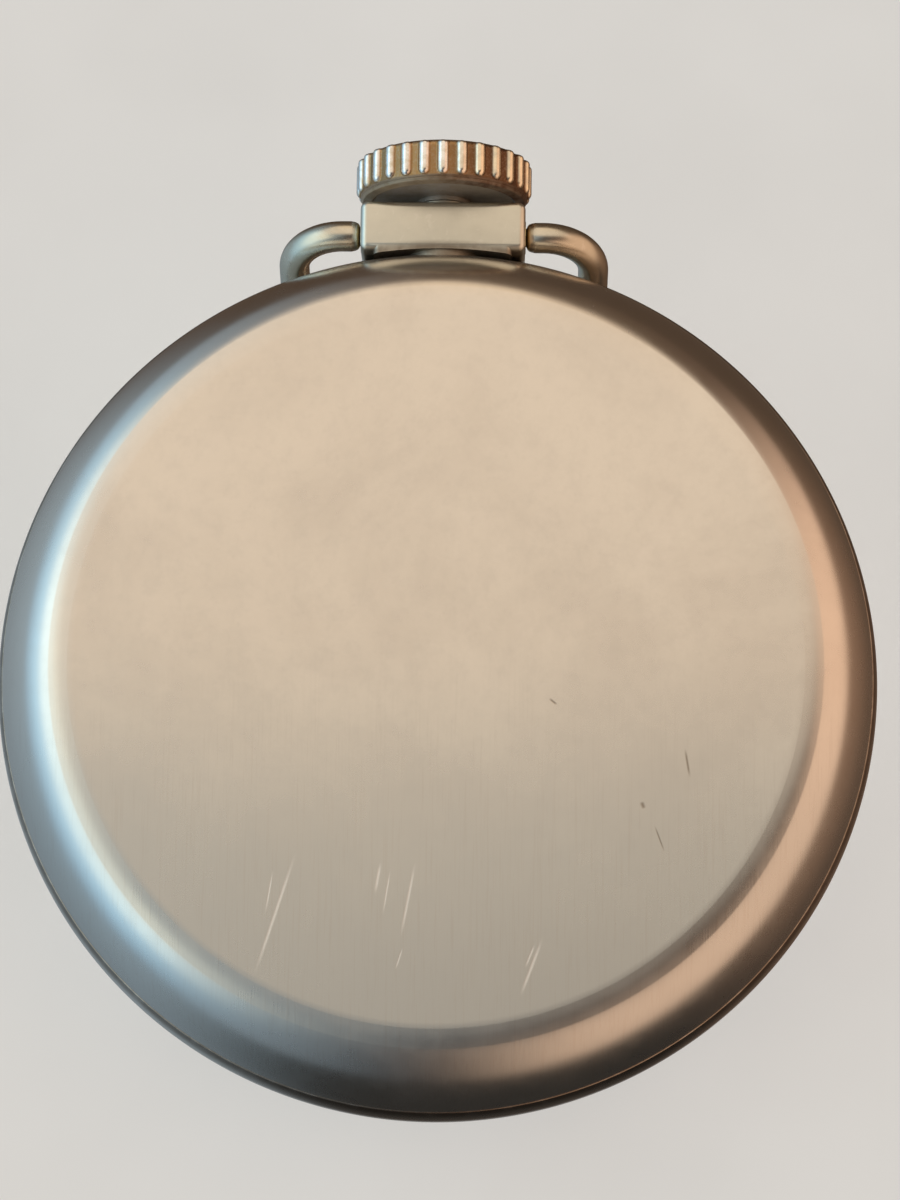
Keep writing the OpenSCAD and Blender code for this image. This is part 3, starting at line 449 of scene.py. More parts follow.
# ---------------------------------------------------------------- case
def smooth_run(pts, i0, i1, times):
    for _ in range(times):
        q = list(pts)
        for i in range(max(i0, 1), min(i1, len(pts) - 1)):
            q[i] = (pts[i][0], (pts[i - 1][1] + 2 * pts[i][1] + pts[i + 1][1]) / 4)
        pts = q
    return pts


def make_back():
    flat = [(20.8 * i / 64, -BACK_H + 0.15 * max(0.0, (20.8 * i / 64 - 12) / 8.8) ** 2) for i in range(65)]
    te = math.asin(2 / (BACK_H + 0.65))
    side = []
    for i in range(1, 101):
        t = pi / 2 - (pi / 2 - te) * i / 100
        side.append((20.8 + (RB - 20.8) * cos(t) / cos(te), 0.8 - (BACK_H + 0.65) * sin(t)))
    outer = smooth_run(flat + side, 30, 84, 90)
    inner = quarter([19.5, -1.2], 4.0, BACK_H - 1.95, 2.2, 30, -1)
    prof = outer[:-1] + fillet([outer[-2], (RB, -1.2, 0.07), (23.95, -1.2), (23.95, -0.3, 0.1), (23.5, -0.3, 0.1),
                                (23.5, -1.2)])[1:-1] + inner + [(10.0, -BACK_H + 0.65), (0, -BACK_H + 0.6)]
    ob = lathe("back_cover_shell", prof, 360)
    return cut(ob, block("cut_lip", (2.5, 23.9, -1.72), (3.9, 26, -1.1)), rod("cut_tube", 2.36, (0, 20, 0), (0, 30, 0), 96))


def make_band():
    band = []
    for i in range(49):
        t = i / 48
        q = (t - 3 / 7) * 7
        band.append((R - (0.37 * (-q / 3) ** 2.2 if q < 0 else 0.38 * (q / 4) ** 2.2), -1.12 + 4.52 * t))
    prof = fillet([(20.5, -1.2, 0.08), (23.1, -1.2, 0.08), (23.1, -0.15), (24.05, -0.15), (24.05, -1.12, 0.06),
                   (band[0][0], band[0][1], 0.12)] + band[2:-2] + [(band[-1][0], band[-1][1], 0.12),
                   (23.75, 3.4, 0.05), (23.75, 2.3), (22.95, 2.3), (22.95, 3.4, 0.05), (21.85, 3.4, 0.05),
                   (21.85, 1.47), (20.5, 1.47)])
    ob = lathe("case_band", prof, 360)
    return cut(ob, rod("cut_tube", 2.34, (0, 19, 0), (0, 27, 0)))


def make_bezel():
    outer = quarter([21.4, 3.45], R - 0.4 - 21.4, BEZEL_H - 3.45, 2.1, 72, 1, 0, 60)
    prof = fillet([(outer[0][0], outer[0][1], 0.08)] + outer[2:] + [(22.3, BEZEL_H - 0.03, 0.12), (22.0, 5.7, 0.08),
                  (22.0, 4.8), (21.0, 4.8, 0.06), (21.0, 3.75, 0.06), (23.05, 3.75), (23.05, 2.4, 0.05),
                  (23.65, 2.4, 0.05), (23.65, 3.45)])
    return lathe("bezel_ring", prof, 360)


def make_crystal():
    prof = fillet([(21.1, 4.84, 0.03), (21.95, 4.84, 0.03), (21.95, 5.5, 0.1)] + dome(21.8, 5.6, CRYSTAL_H - 5.6, 40)
                  + dome(20.9, 4.84, CRYSTAL_H - 0.75 - 4.84, 40)[::-1])
    return lathe("crystal_dome", prof, 240, angle=40)


def make_crown():
    rc = 5.2
    rb = rc - 0.25
    body = [(0, 28.38), (1.6, 28.38, 0.08), (1.6, 28.64), (rb - 0.8, 28.64, 0.05), (rb - 0.65, 28.5, 0.08),
            (rb - 0.15, 28.6, 0.08), (rb, 28.78, 0.08)]
    prof = fillet(body)[:-1]
    prof += [(rb, 28.84 + (30.7 - 28.84) * i / 30) for i in range(31)]
    prof += [(rb - 0.45 + 0.45 * cos(pi / 2 * i / 12), 30.7 + 0.4 * sin(pi / 2 * i / 12)) for i in range(1, 13)]
    prof += [((rb - 0.45) * (1 - i / 14), 31.1 + 0.4 * (1 - (1 - i / 14) ** 2)) for i in range(1, 15)]
    n, flutes = 28 * 18, 28
    pitch = 2 * pi * rb / flutes
    V, F = [], []
    m = len(prof)
    for i in range(n):
        a = 2 * pi * i / n
        u = ((a * flutes / (2 * pi) + 0.5) % 1.0 - 0.5) * pitch
        for r, y in prof:
            k = 0.0
            if r > rb - 0.42 and y > 28.8:
                s = y if r >= rb - 1e-6 else 30.7 + (rb - r) * 0.9 + (y - 30.7)
                e = max(29.27 - s, s - 30.84, 0.0)
                d2 = u * u + e * e * 0.8
                k = max(0.0, sqrt(max(0.0, 0.34 ** 2 - d2)) - 0.09)
            rr = min(r + k, rc)
            V.append((rr * cos(a), y, rr * sin(a)))
    for i in range(n):
        for j in range(m - 1):
            F.append((i * m + j, i * m + j + 1, ((i + 1) % n) * m + j + 1, ((i + 1) % n) * m + j))
    return build("crown_fluted", V, F, 50)


def make_pendant():
    w, t = BLOCK_W / 2, BLOCK_T / 2
    ob = block("pendant_block", (-w, 25.06, -t), (w, 28.06, t), 0.42, 7)
    cut(ob, block("foot", (-w + 0.8, 24.2, -t + 0.02), (w - 0.8, 25.8, t - 0.02), 0.36, 7), mode="UNION")
    cut(ob, tube("cut_band", [(0, 0, -1.14), (0, 0, 6)], [R + 0.02, R + 0.02], 360))
    cut(ob, tube("cut_back", [(0, 0, -6), (0, 0, -1.1)], [RB + 0.07, RB + 0.07], 360))
    cutters = [rod("cut_bore", 1.75, (0, 20, 0), (0, 30, 0))]
    for s in (-1, 1):
        cutters.append(rod("cut_pin%d" % s, 0.6, (s * 3, PIVOT, 0), (s * 7, PIVOT, 0), 40))
        cutters.append(rod("cut_seat%d" % s, 1.0, (s * (w - 0.75), PIVOT, 0), (s * (w + 2), PIVOT, 0), 48))
    cut(ob, *cutters)
    return ob


def make_tube():
    prof = [(1.75, 22.0), (2.3, 22.0), (2.3, 26.0), (1.75, 26.0)]
    n, m = 96, 4
    V = [(r * cos(2 * pi * i / n), y, r * sin(2 * pi * i / n)) for i in range(n) for r, y in prof]
    F = [(i * m + j, i * m + (j + 1) % m, ((i + 1) % n) * m + (j + 1) % m, ((i + 1) % n) * m + j)
         for i in range(n) for j in range(m)]
    return build("pendant_tube", V, F)


def make_bow():
    """Stirrup of round wire, with its pivots turned in at both ends."""
    rw, rc, k, h = 0.9, 9.85 - 0.9, 3.0, 5.5
    x0 = BLOCK_W / 2
    right = [(x0 - 1.4, 0.0, 0.54), (x0 + 0.06, 0.0, 0.54), (x0 + 0.1, 0.0, 0.6), (x0 + 0.14, 0.0, 0.70),
             (x0 + 0.22, 0.0, 0.79), (x0 + 0.36, 0.0, 0.85), (x0 + 0.6, 0.0, rw)]
    xe = rc - k
    for i in range(25):
        a = -pi / 2 + pi / 2 * i / 24
        right.append((xe + k * cos(a), k + k * sin(a), rw))
    right += [(rc, k + (h - k) * i / 4, rw) for i in range(1, 4)]
    arc = [(rc * cos(pi * i / 96), h + rc * sin(pi * i / 96), rw) for i in range(97)]
    pts = right + arc + [(-x, y, r) for x, y, r in right[::-1]]
    ob = tube("bow_wire", [(x, y, 0) for x, y, r in pts], [r for x, y, r in pts], 36, 60)
    a = radians(112)
    for v in ob.data.vertices:
        lx, ly, lz = v.co.x, v.co.z, -v.co.y          # back to the drawing frame
        ly, lz = ly * cos(a) - lz * sin(a) + PIVOT * MM, ly * sin(a) + lz * cos(a)
        v.co = (lx, -lz, ly)
    return ob


# ---------------------------------------------------------------- dial print and hands
def roman(s, h=3.1):
    """Strokes of a Roman numeral, centred on x, from y 0 to h: lists of four corners."""
    thick, thin, ser, gap = 0.42, 0.13, 0.15, 0.34
    w = {"I": thick, "V": 1.75, "X": 1.85}
    total = sum(w[c] for c in s) + gap * (len(s) - 1)
    x, out = -total / 2, []
    for c in s:
        if c == "I":
            out.append([(x, 0), (x + thick, 0), (x + thick, h), (x, h)])
            for y in (0, h - ser):
                out.append([(x - 0.14, y), (x + thick + 0.14, y), (x + thick + 0.14, y + ser), (x - 0.14, y + ser)])
        if c == "V":
            m = x + w[c] / 2
            out.append([(x + 0.1, h), (x + 0.1 + thick, h), (m + 0.16, 0), (m - 0.12, 0)])
            out.append([(x + w[c] - 0.1 - thin, h), (x + w[c] - 0.1, h), (m + 0.1, 0), (m - 0.04, 0)])
            out.append([(x - 0.05, h - ser), (x + 0.1 + thick + 0.12, h - ser), (x + 0.1 + thick + 0.12, h), (x - 0.05, h)])
            out.append([(x + w[c] - 0.38, h - ser), (x + w[c] + 0.05, h - ser), (x + w[c] + 0.05, h), (x + w[c] - 0.38, h)])
        if c == "X":
            out.append([(x + 0.08, h), (x + 0.08 + thick, h), (x + w[c] - 0.08, 0), (x + w[c] - 0.08 - thick, 0)])
            out.append([(x + w[c] - 0.12 - thin, h), (x + w[c] - 0.12, h), (x + 0.12 + thin, 0), (x + 0.12, 0)])
            for y in (0, h - ser):
                for a, b in ((x - 0.02, x + 0.62), (x + w[c] - 0.62, x + w[c] + 0.02)):
                    out.append([(a, y), (b, y), (b, y + ser), (a, y + ser)])
        x += w[c] + gap
    return out


def make_print():
    """Numerals, minute track and seconds track, laid on the dial as thin ink."""
    z0, z1 = 3.598, 3.61
    V, F = [], []

    def add(quad, z0=z0, z1=z1):
        k = len(V)
        n = len(quad)
        V.extend([(x, y, z0) for x, y in quad] + [(x, y, z1) for x, y in quad])
        F.append(tuple(k + i for i in range(n))[::-1])
        F.append(tuple(k + n + i for i in range(n)))
        F.extend([(k + i, k + (i + 1) % n, k + n + (i + 1) % n, k + n + i) for i in range(n)])

    def ring(c, r, w, n, z0=z0, z1=z1, skip=None):
        for i in range(n):
            a, b = 2 * pi * i / n, 2 * pi * (i + 1) / n
            q = [(c[0] + rr * cos(t), c[1] + rr * sin(t)) for rr, t in ((r, a), (r + w, a), (r + w, b), (r, b))]
            if skip and all(skip(x, y) for x, y in q):
                continue
            add(q, z0, z1)

    # ring and ticks of the minute track
    for r in (20.3, 19.2):
        ring((0, 0), r, 0.07, 180)
    for i in range(60):
        a = radians(90 - 6 * i)
        hw = 0.17 if i % 5 == 0 else 0.045
        r0, r1 = (19.2, 20.37)
        ca, sa = cos(a), sin(a)
        add([(r0 * ca - hw * sa, r0 * sa + hw * ca), (r1 * ca - hw * sa, r1 * sa + hw * ca),
             (r1 * ca + hw * sa, r1 * sa - hw * ca), (r0 * ca + hw * sa, r0 * sa - hw * ca)])
    # numerals stand radially, their feet to the centre
    names = ["XII", "I", "II", "III", "IIII", "V", None, "VII", "VIII", "IX", "X", "XI"]
    for i, s in enumerate(names):
        if s is None:
            continue
        a = radians(-30 * i)
        for q in roman(s):
            pts = []
            for x, y in q:
                # bend the strokes a little along the dial's circle
                rr = 15.2 + y
                w = x * (0.86 + 0.045 * y)
                pts.append((w * cos(a) - rr * sin(a), w * sin(a) + rr * cos(a)))
            add(pts)
    # seconds track, in the sunk seat
    sz0, sz1 = 3.458, 3.47
    F0 = (0, -9.8)
    ring(F0, 4.42, 0.05, 90, sz0, sz1)
    ring(F0, 3.8, 0.05, 90, sz0, sz1)
    for i in range(60):
        a = radians(90 - 6 * i)
        hw = 0.075 if i % 5 == 0 else 0.025
        r0, r1 = 3.8, 4.47
        if i % 5 == 0:
            r0 = 3.55
        ca, sa = cos(a), sin(a)
        add([(F0[0] + r0 * ca - hw * sa, F0[1] + r0 * sa + hw * ca), (F0[0] + r1 * ca - hw * sa, F0[1] + r1 * sa + hw * ca),
             (F0[0] + r1 * ca + hw * sa, F0[1] + r1 * sa - hw * ca), (F0[0] + r0 * ca + hw * sa, F0[1] + r0 * sa - hw * ca)],
            sz0, sz1)
    me = bpy.data.meshes.new("dial_print")
    me.from_pydata([row(v) for v in V], [], F)
    bm = bmesh.new()
    bm.from_mesh(me)
    bmesh.ops.recalc_face_normals(bm, faces=bm.faces)
    bm.to_mesh(me)
    bm.free()
    ob = bpy.data.objects.new("dial_print", me)
    COL.objects.link(ob)
    return ob


def catmull(P, n=6):
    out = []
    for i in range(len(P) - 1):
        p0, p1, p2, p3 = P[max(i - 1, 0)], P[i], P[i + 1], P[min(i + 2, len(P) - 1)]
        for k in range(n):
            t = k / n
            out.append(tuple(0.5 * (2 * p1[j] + (p2[j] - p0[j]) * t + (2 * p0[j] - 5 * p1[j] + 4 * p2[j] - p3[j]) * t * t
                                    + (3 * p1[j] - p0[j] - 3 * p2[j] + p3[j]) * t ** 3) for j in (0, 1)))
    out.append(P[-1])
    return out


def make_hand(name, length, s, w, hub_r, hole_r, z0, z1, turn):
    """Spade hand: a tapering stem, a heart of two lobes, and a long point."""
    half = [(0.24 * s, hub_r * 0.8), (0.15 * s, length - 3.3 * s), (0.13 * s, length - 2.95 * s),
            (0.42 * s, length - 2.85 * s), (0.45 * s, length - 2.72 * s), (0.2 * s, length - 2.6 * s)]
    lobe = catmull([(0.2 * s, length - 2.6 * s), (0.85 * w, length - 2.42 * s), (1.25 * w, length - 2.05 * s),
                    (1.26 * w, length - 1.65 * s), (0.95 * w, length - 1.28 * s), (0.42 * w, length - 0.98 * s),
                    (0.12 * s, length - 0.7 * s), (0.05, length - 0.3 * s), (0.03, length)], 6)
    half = half[:-1] + lobe
    a0 = math.asin(min(1, half[0][0] / hub_r))
    hub = []
    k = 40
    for i in range(k + 1):
        a = pi / 2 + a0 + (2 * pi - 2 * a0) * i / k
        hub.append((hub_r * cos(a), hub_r * sin(a)))
    outline = half + [(-x, y) for x, y in half[::-1]]
    # from the left foot of the stem, round the hub, back to the right foot
    outline = [(x, y) for x, y in outline if y > hub_r * cos(a0) + 1e-6] + hub
    ca, sa = cos(radians(turn)), sin(radians(turn))
    spin = lambda p: (p[0] * ca - p[1] * sa, p[0] * sa + p[1] * ca)
    hole = [(hole_r * cos(2 * pi * i / 40), hole_r * sin(2 * pi * i / 40)) for i in range(40)]
    return extrude(name, [spin(p) for p in outline], z0, z1, 0.035, 40, holes=[hole])


# ---------------------------------------------------------------- materials
def mm_scratches(M, x, z, upper):
    """The few long marks on the back, as one mask."""
    marks = [((7.6, -10.9), (9.9, -18.2), 0.13), ((2.9, -11.5), (3.2, -13.4), 0.12), ((0.95, -11.4), (1.75, -15.9), 0.11),
             ((2.35, -11.9), (2.75, -14.6), 0.07), ((8.9, -12.0), (9.3, -14.6), 0.07), ((1.6, -16.3), (2.0, -17.6), 0.07),
             ((-6.2, -15.6), (-4.9, -19.1), 0.13), ((-5.75, -16.0), (-5.2, -17.4), 0.09)]
    m = None
    for a, b, w in marks:
        k = M.scratch(x, z, a, b, w)
        m = k if m is None else M.math("MAXIMUM", m, k)
    return m


def case_metal(name, back=False, base=(0.78, 0.745, 0.69), dark=(0.725, 0.685, 0.63), rough=(0.30, 0.36), shade_on_pendant_foot=None, seam=None):
    """Worn satin nickel alloy."""
    M = Mat(name)
    x, y, z = M.xyz(M.mm)
    cloud = M.noise(M.mm, 0.085, 6.0, 0.6, 0.4)
    mottle = M.noise(M.mm, 0.85, 5.0, 0.65)
    speck = M.noise(M.mm, 5.5, 3.0, 0.6)
    c = M.mix(M.step(cloud, 0.36, 0.68), base, dark)
    c = M.mix(M.math("MULTIPLY", M.step(mottle, 0.40, 0.80), 0.20), c, tuple(v * 0.90 for v in dark))
    c = M.mix(M.math("MULTIPLY", M.step(speck, 0.60, 0.78), 0.14), c, tuple(v * 0.75 for v in dark))
    r = M.math("ADD", M.step(cloud, 0.3, 0.75, rough[0], rough[1]), M.step(mottle, 0.35, 0.75, -0.01, 0.02))
    h = M.math("MULTIPLY", speck, 0.12)
    hs = None
    for ang, den, ln, lo, hi, seed in ((2, 14, 2.6, 0.66, 0.73, 3.1), (-38, 16, 1.8, 0.69, 0.75, 7.7),
                                       (61, 15, 2.0, 0.70, 0.76, 12.3)):
        k = M.hairs(ang, den, ln, lo + 0.01, hi + 0.05, seed)
        hs = k if hs is None else M.math("MAXIMUM", hs, k)
    hs = M.math("MULTIPLY", hs, M.step(mottle, 0.35, 0.6, 0.25, 1.0))
    c = M.mix(M.math("MULTIPLY", hs, 0.04), c, (0.93, 0.91, 0.87))
    if back:
        # painted shade: the back is darker and greyer towards the bottom; the extra grain, darker grain patches and
        # roughness there are wear
        low = M.step(z, 3.0, -13.0)
        c = M.mix(M.math("MULTIPLY", low, 0.9), c, (0.585, 0.60, 0.585))
        g = M.noise(M.mapping(M.mm, scale=(7.0, 1.0, 0.16)), 1.0, 3.0, 0.62)
        g2 = M.noise(M.mapping(M.mm, loc=(5.0, 0, 3.0), scale=(16.0, 1.0, 0.3)), 1.0, 3.0, 0.6)
        gg = M.math("ADD", M.math("MULTIPLY", g, 0.6), M.math("MULTIPLY", g2, 0.4))
        h = M.math("ADD", h, M.math("MULTIPLY", M.math("MULTIPLY", gg, low), 1.6))
        c = M.mix(M.math("MULTIPLY", M.step(gg, 0.5, 0.62), M.math("MULTIPLY", low, 0.24)), c, tuple(v * 0.72 for v in dark))
        r = M.math("ADD", r, M.math("MULTIPLY", low, 0.035))
        mark = mm_scratches(M, x, z, None)
        c = M.mix(M.math("MULTIPLY", mark, 0.8), c, (0.96, 0.95, 0.93))
        r = M.math("ADD", r, M.math("MULTIPLY", mark, 0.12))
        h = M.math("SUBTRACT", h, M.math("MULTIPLY", mark, 2.0))
        # a few dark nicks
        nick = None
        for p0, p1, w in (((-14.05, -4.9), (-14.35, -6.7), 0.10), ((-12.35, -9.3), (-12.95, -10.9), 0.07),
                          ((-11.62, -8.0), (-11.80, -8.45), 0.17), ((-6.4, -2.2), (-6.9, -2.6), 0.10)):
            k = M.scratch(x, z, p0, p1, w)
            nick = k if nick is None else M.math("MAXIMUM", nick, k)
        c = M.mix(M.math("MULTIPLY", nick, 0.75), c, (0.24, 0.20, 0.16))
        h = M.math("SUBTRACT", h, M.math("MULTIPLY", nick, 1.5))
    else:
        c = M.mix(M.math("MULTIPLY", edge_wear(M), 0.3), c, (0.90, 0.87, 0.82))
    if seam:
        edge = M.math("MULTIPLY", M.step(y, 0.0, 0.9), M.step(mottle, 0.25, 0.6, 0.6, 0.85))
        c = M.mix(edge, c, (0.17, 0.13, 0.095))
    # painted shade where the pendant meets the round of the case: a mottled dark brown band just inside the case's edge
    # under the pendant's foot, or on the pendant's own foot
    rad = M.math("SQRT", M.math("ADD", M.math("MULTIPLY", x, x), M.math("MULTIPLY", z, z)))
    near = M.math("MULTIPLY", M.step(M.math("ABSOLUTE", x), 5.6, 4.4), M.step(z, 20.0, 22.0))
    ring = M.step(rad, 25.75, 25.25) if shade_on_pendant_foot else M.step(rad, 24.35, 24.85)
    joint_shade = M.math("MULTIPLY", M.math("MULTIPLY", near, ring), M.step(mottle, 0.25, 0.55, 0.65, 1.0))
    c = M.mix(M.math("MULTIPLY", joint_shade, 0.75), c, (0.17, 0.12, 0.08))
    r = M.math("ADD", r, M.math("MULTIPLY", joint_shade, 0.2))
    M.set(Base_Color=c, Metallic=1.0, Roughness=r, Normal=M.bump(h, 0.22, 0.000012))
    return M


def crown_metal():
    """Worn flutes: bare bright ridges, brown dirt in the grooves between them; the ridges carry a painted reflection,
    cool towards +X and warm towards -X, and the grooves and the ring under the crown carry painted shade towards -X;
    the underside is a dull greyish brown.
    """
    M = Mat("crown_metal")
    x, y, z = M.xyz(M.mm)
    rad = M.math("SQRT", M.math("ADD", M.math("MULTIPLY", x, x), M.math("MULTIPLY", y, y)))
    mott = M.noise(M.mm, 1.6, 5.0, 0.62)
    fine = M.noise(M.mm, 9.0, 3.0, 0.6)
    groove = M.math("MULTIPLY", M.step(rad, 5.12, 4.97), M.math("MULTIPLY", M.step(z, 28.8, 28.95), M.step(rad, 4.7, 4.85)))
    groove = M.math("MULTIPLY", groove, M.step(z, 31.1, 30.85))
    # ridges: brassy mottle over a painted reflection, cool white towards +X where the window is and warm gold towards
    # -X where the lamp is
    c = M.mix(M.step(mott, 0.35, 0.7), M.mix(M.step(x, 0.2, -2.6), (0.95, 0.97, 0.98), (0.93, 0.82, 0.62)), (0.72, 0.66, 0.54))
    # groove dirt: brown towards +X, with painted near-black shade towards -X
    groove_dirt_and_shade = M.mix(M.step(x, 0.5, -3.0), (0.52, 0.31, 0.12), (0.13, 0.055, 0.025))
    c = M.mix(M.math("MULTIPLY", groove, M.step(fine, 0.2, 0.6, 0.7, 0.97)), c, groove_dirt_and_shade)
    # the ring under the crown: dark brown, painted darker still towards -X (painted shade)
    band = M.math("MULTIPLY", M.step(z, 28.98, 28.86), M.step(rad, 4.05, 4.2))
    c = M.mix(M.math("MULTIPLY", band, M.step(mott, 0.35, 0.65, 0.98, 0.8)), c, M.mix(M.step(x, 1.0, -2.5), (0.30, 0.22, 0.13), (0.09, 0.045, 0.025)))
    under = M.math("MULTIPLY", M.step(z, 28.7, 28.66), M.step(rad, 4.2, 4.1))
    c = M.mix(M.math("MULTIPLY", under, 0.8), c, (0.24, 0.20, 0.155))
    foot = M.math("MULTIPLY", M.math("MULTIPLY", M.step(rad, 5.06, 4.98), M.step(rad, 4.85, 4.92)), M.step(z, 30.9, 30.6))
    c = M.mix(M.math("MULTIPLY", foot, 0.45), c, (0.13, 0.07, 0.035))
    r = M.math("ADD", M.step(mott, 0.3, 0.7, 0.20, 0.30), M.math("MULTIPLY", groove, 0.14))
    dull = M.math("ADD", M.math("MULTIPLY", under, 0.75), M.math("MULTIPLY", band, 0.6), clamp=True)
    r = M.math("ADD", r, M.math("MULTIPLY", dull, 0.25))
    M.set(Base_Color=c, Metallic=M.math("SUBTRACT", 1.0, M.math("MULTIPLY", dull, 0.75)), Roughness=r,
          Normal=M.bump(fine, 0.15, 0.000008))
    return M


def enamel():
    M = Mat("dial_enamel")
    n = M.noise(M.mm, 0.4, 4.0)
    sp = M.noise(M.mm, 7.0, 2.0)
    c = M.mix(M.step(n, 0.3, 0.7), (0.87, 0.855, 0.81), (0.82, 0.80, 0.745))
    c = M.mix(M.math("MULTIPLY", M.step(sp, 0.68, 0.76), 0.2), c, (0.55, 0.5, 0.42))
    M.set(Base_Color=c, Metallic=0.0, Roughness=M.step(n, 0.3, 0.7, 0.14, 0.22), Coat_Weight=0.6, Coat_Roughness=0.05,
          Normal=M.bump(n, 0.12, 0.00003))
    return M


def ink():
    M = Mat("dial_ink")
    n = M.noise(M.mm, 6.0, 3.0)
    c = M.mix(M.step(n, 0.35, 0.7), (0.012, 0.012, 0.014), (0.035, 0.032, 0.03))
    M.set(Base_Color=c, Roughness=M.step(n, 0.3, 0.7, 0.35, 0.5), Normal=M.bump(n, 0.1, 0.000003))
    return M


def blued(name="blued_metal"):
    M = Mat(name)
    n = M.noise(M.mm, 0.8, 4.0)
    f = M.noise(M.mapping(M.mm, scale=(11, 11, 11)), 1.0, 2.0)
    c = M.mix(M.step(n, 0.35, 0.7), (0.022, 0.045, 0.17), (0.045, 0.04, 0.13))
    c = M.mix(M.math("MULTIPLY", edge_wear(M), 0.4), c, (0.10, 0.15, 0.34))
    M.set(Base_Color=c, Metallic=1.0, Roughness=M.step(f, 0.3, 0.7, 0.16, 0.26), Coat_Weight=0.3, Coat_Roughness=0.1,
          Normal=M.bump(f, 0.08, 0.000004))
    return M


def glass():
    M = Mat("crystal_glass")
    s = M.step(M.noise(M.mapping(M.mm, rot=(0, 0.6, 0), scale=(6, 0.3, 0.2)), 1.0, 2.0), 0.70, 0.76)
    n = M.noise(M.mm, 0.5, 3.0)
    lp = M.n("ShaderNodeLightPath")
    tr = M.n("ShaderNodeBsdfTransparent")
    M.put(tr.inputs[0], (0.96, 0.97, 0.97))
    gl = M.n("ShaderNodeBsdfGlossy")
    M.put(gl.inputs["Roughness"], M.math("ADD", M.math("MULTIPLY", s, 0.15), 0.02))
    M.put(gl.inputs["Color"], (0.95, 0.97, 0.98))
    fr = M.n("ShaderNodeFresnel")
    fr.inputs["IOR"].default_value = 1.5
    M.put(fr.inputs["Normal"], M.bump(n, 0.05, 0.00002))
    mx = M.n("ShaderNodeMixShader")
    near = M.math("SUBTRACT", 1.0, M.geo.outputs["Backfacing"])
    M.put(mx.inputs[0], M.math("MULTIPLY", M.math("ADD", M.math("MULTIPLY", fr.outputs[0], 0.85), M.math("MULTIPLY", s, 0.03), clamp=True), near))
    M.put(mx.inputs[1], tr.outputs[0])
    M.put(mx.inputs[2], gl.outputs[0])
    M.put(M.out.inputs[0], mx.outputs[0])
    return M


def ruby():
    M = Mat("ruby_stone")
    n = M.noise(M.mm, 3.0, 3.0)
    c = M.mix(M.step(n, 0.3, 0.7), (0.55, 0.015, 0.06), (0.72, 0.05, 0.14))
    M.set(Base_Color=c, Roughness=M.step(n, 0.3, 0.7, 0.04, 0.10), IOR=1.76, Transmission_Weight=0.35, Coat_Weight=0.5)
    return M


def centre(node):
    lo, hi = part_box(node)
    return ((lo.x + hi.x) * 500.0, (lo.z + hi.z) * 500.0)


m_back = case_metal("back_metal", True, rough=(0.22, 0.285)).m
m_case = case_metal("band_metal", rough=(0.25, 0.33), seam=True).m
m_bezel = case_metal("bezel_metal", base=(0.82, 0.78, 0.72), rough=(0.24, 0.34)).m
# the pendant's metal carries the painted shade along its own foot
m_pend = case_metal("pendant_metal", base=(0.70, 0.69, 0.61), dark=(0.62, 0.605, 0.525), rough=(0.30, 0.38), shade_on_pendant_foot=True).m
m_bow = case_metal("bow_metal", base=(0.76, 0.73, 0.63), dark=(0.58, 0.54, 0.44), rough=(0.22, 0.31)).m
m_crown = crown_metal().m
m_bush = polished("bush_brass", (0.62, 0.45, 0.16), 0.3, 0.12, (0.40, 0.28, 0.12)).m
m_blue = blued().m
m_enamel, m_ink, m_glass, m_ruby = enamel().m, ink().m, glass().m, ruby().m
m_plate = striped("plate_nickel", (0.80, 0.785, 0.74), (0.70, 0.685, 0.64), 1.7, 28).m
m_pillar = circular("pillar_plate_metal", (0.80, 0.74, 0.60), (0.0, 0.0), 0.28, (0.70, 0.63, 0.48)).m
m_polish = polished("polished_metal", (0.80, 0.80, 0.81), 0.12, 0.07).m
m_spring = polished("spring_metal", (0.42, 0.44, 0.50), 0.25, 0.1).m
m_gilt = polished("gilt_metal", (0.92, 0.68, 0.30), 0.18, 0.08, (0.80, 0.56, 0.22)).m
m_gold = polished("balance_gold", (0.95, 0.74, 0.36), 0.12, 0.06).m


# ---------------------------------------------------------------- outer pieces
piece(make_back(), "back", "case_steel", m_back, "back_cover")
piece(make_band(), "case", "case_steel", m_case, "case_center")
piece(make_bezel(), "case", "case_steel", m_bezel, "bezel")
piece(make_crystal(), "case", "crystal_glass", m_glass, "crystal")
piece(make_crown(), "crown_and_stem", "crown_steel", m_crown, "crown")
piece(make_pendant(), "case", "case_steel", m_pend, "pendant")
piece(make_tube(), "case", "case_steel", m_pend)
piece(make_bow(), "bow", "bow_steel", m_bow, "bow")
piece(make_print(), "case", "dial_enamel", m_ink)
piece(make_hand("hour_hand_spade", 11.6, 1.3, 1.25, 1.5, 1.17, 3.84, 4.0, -304), "hour", "blued_steel", m_blue, "hour_hand")
piece(make_hand("minute_hand_spade", 17.2, 1.2, 0.8, 1.15, 0.76, 4.2, 4.36, -48), "center", "blued_steel", m_blue,
      "minute_hand")


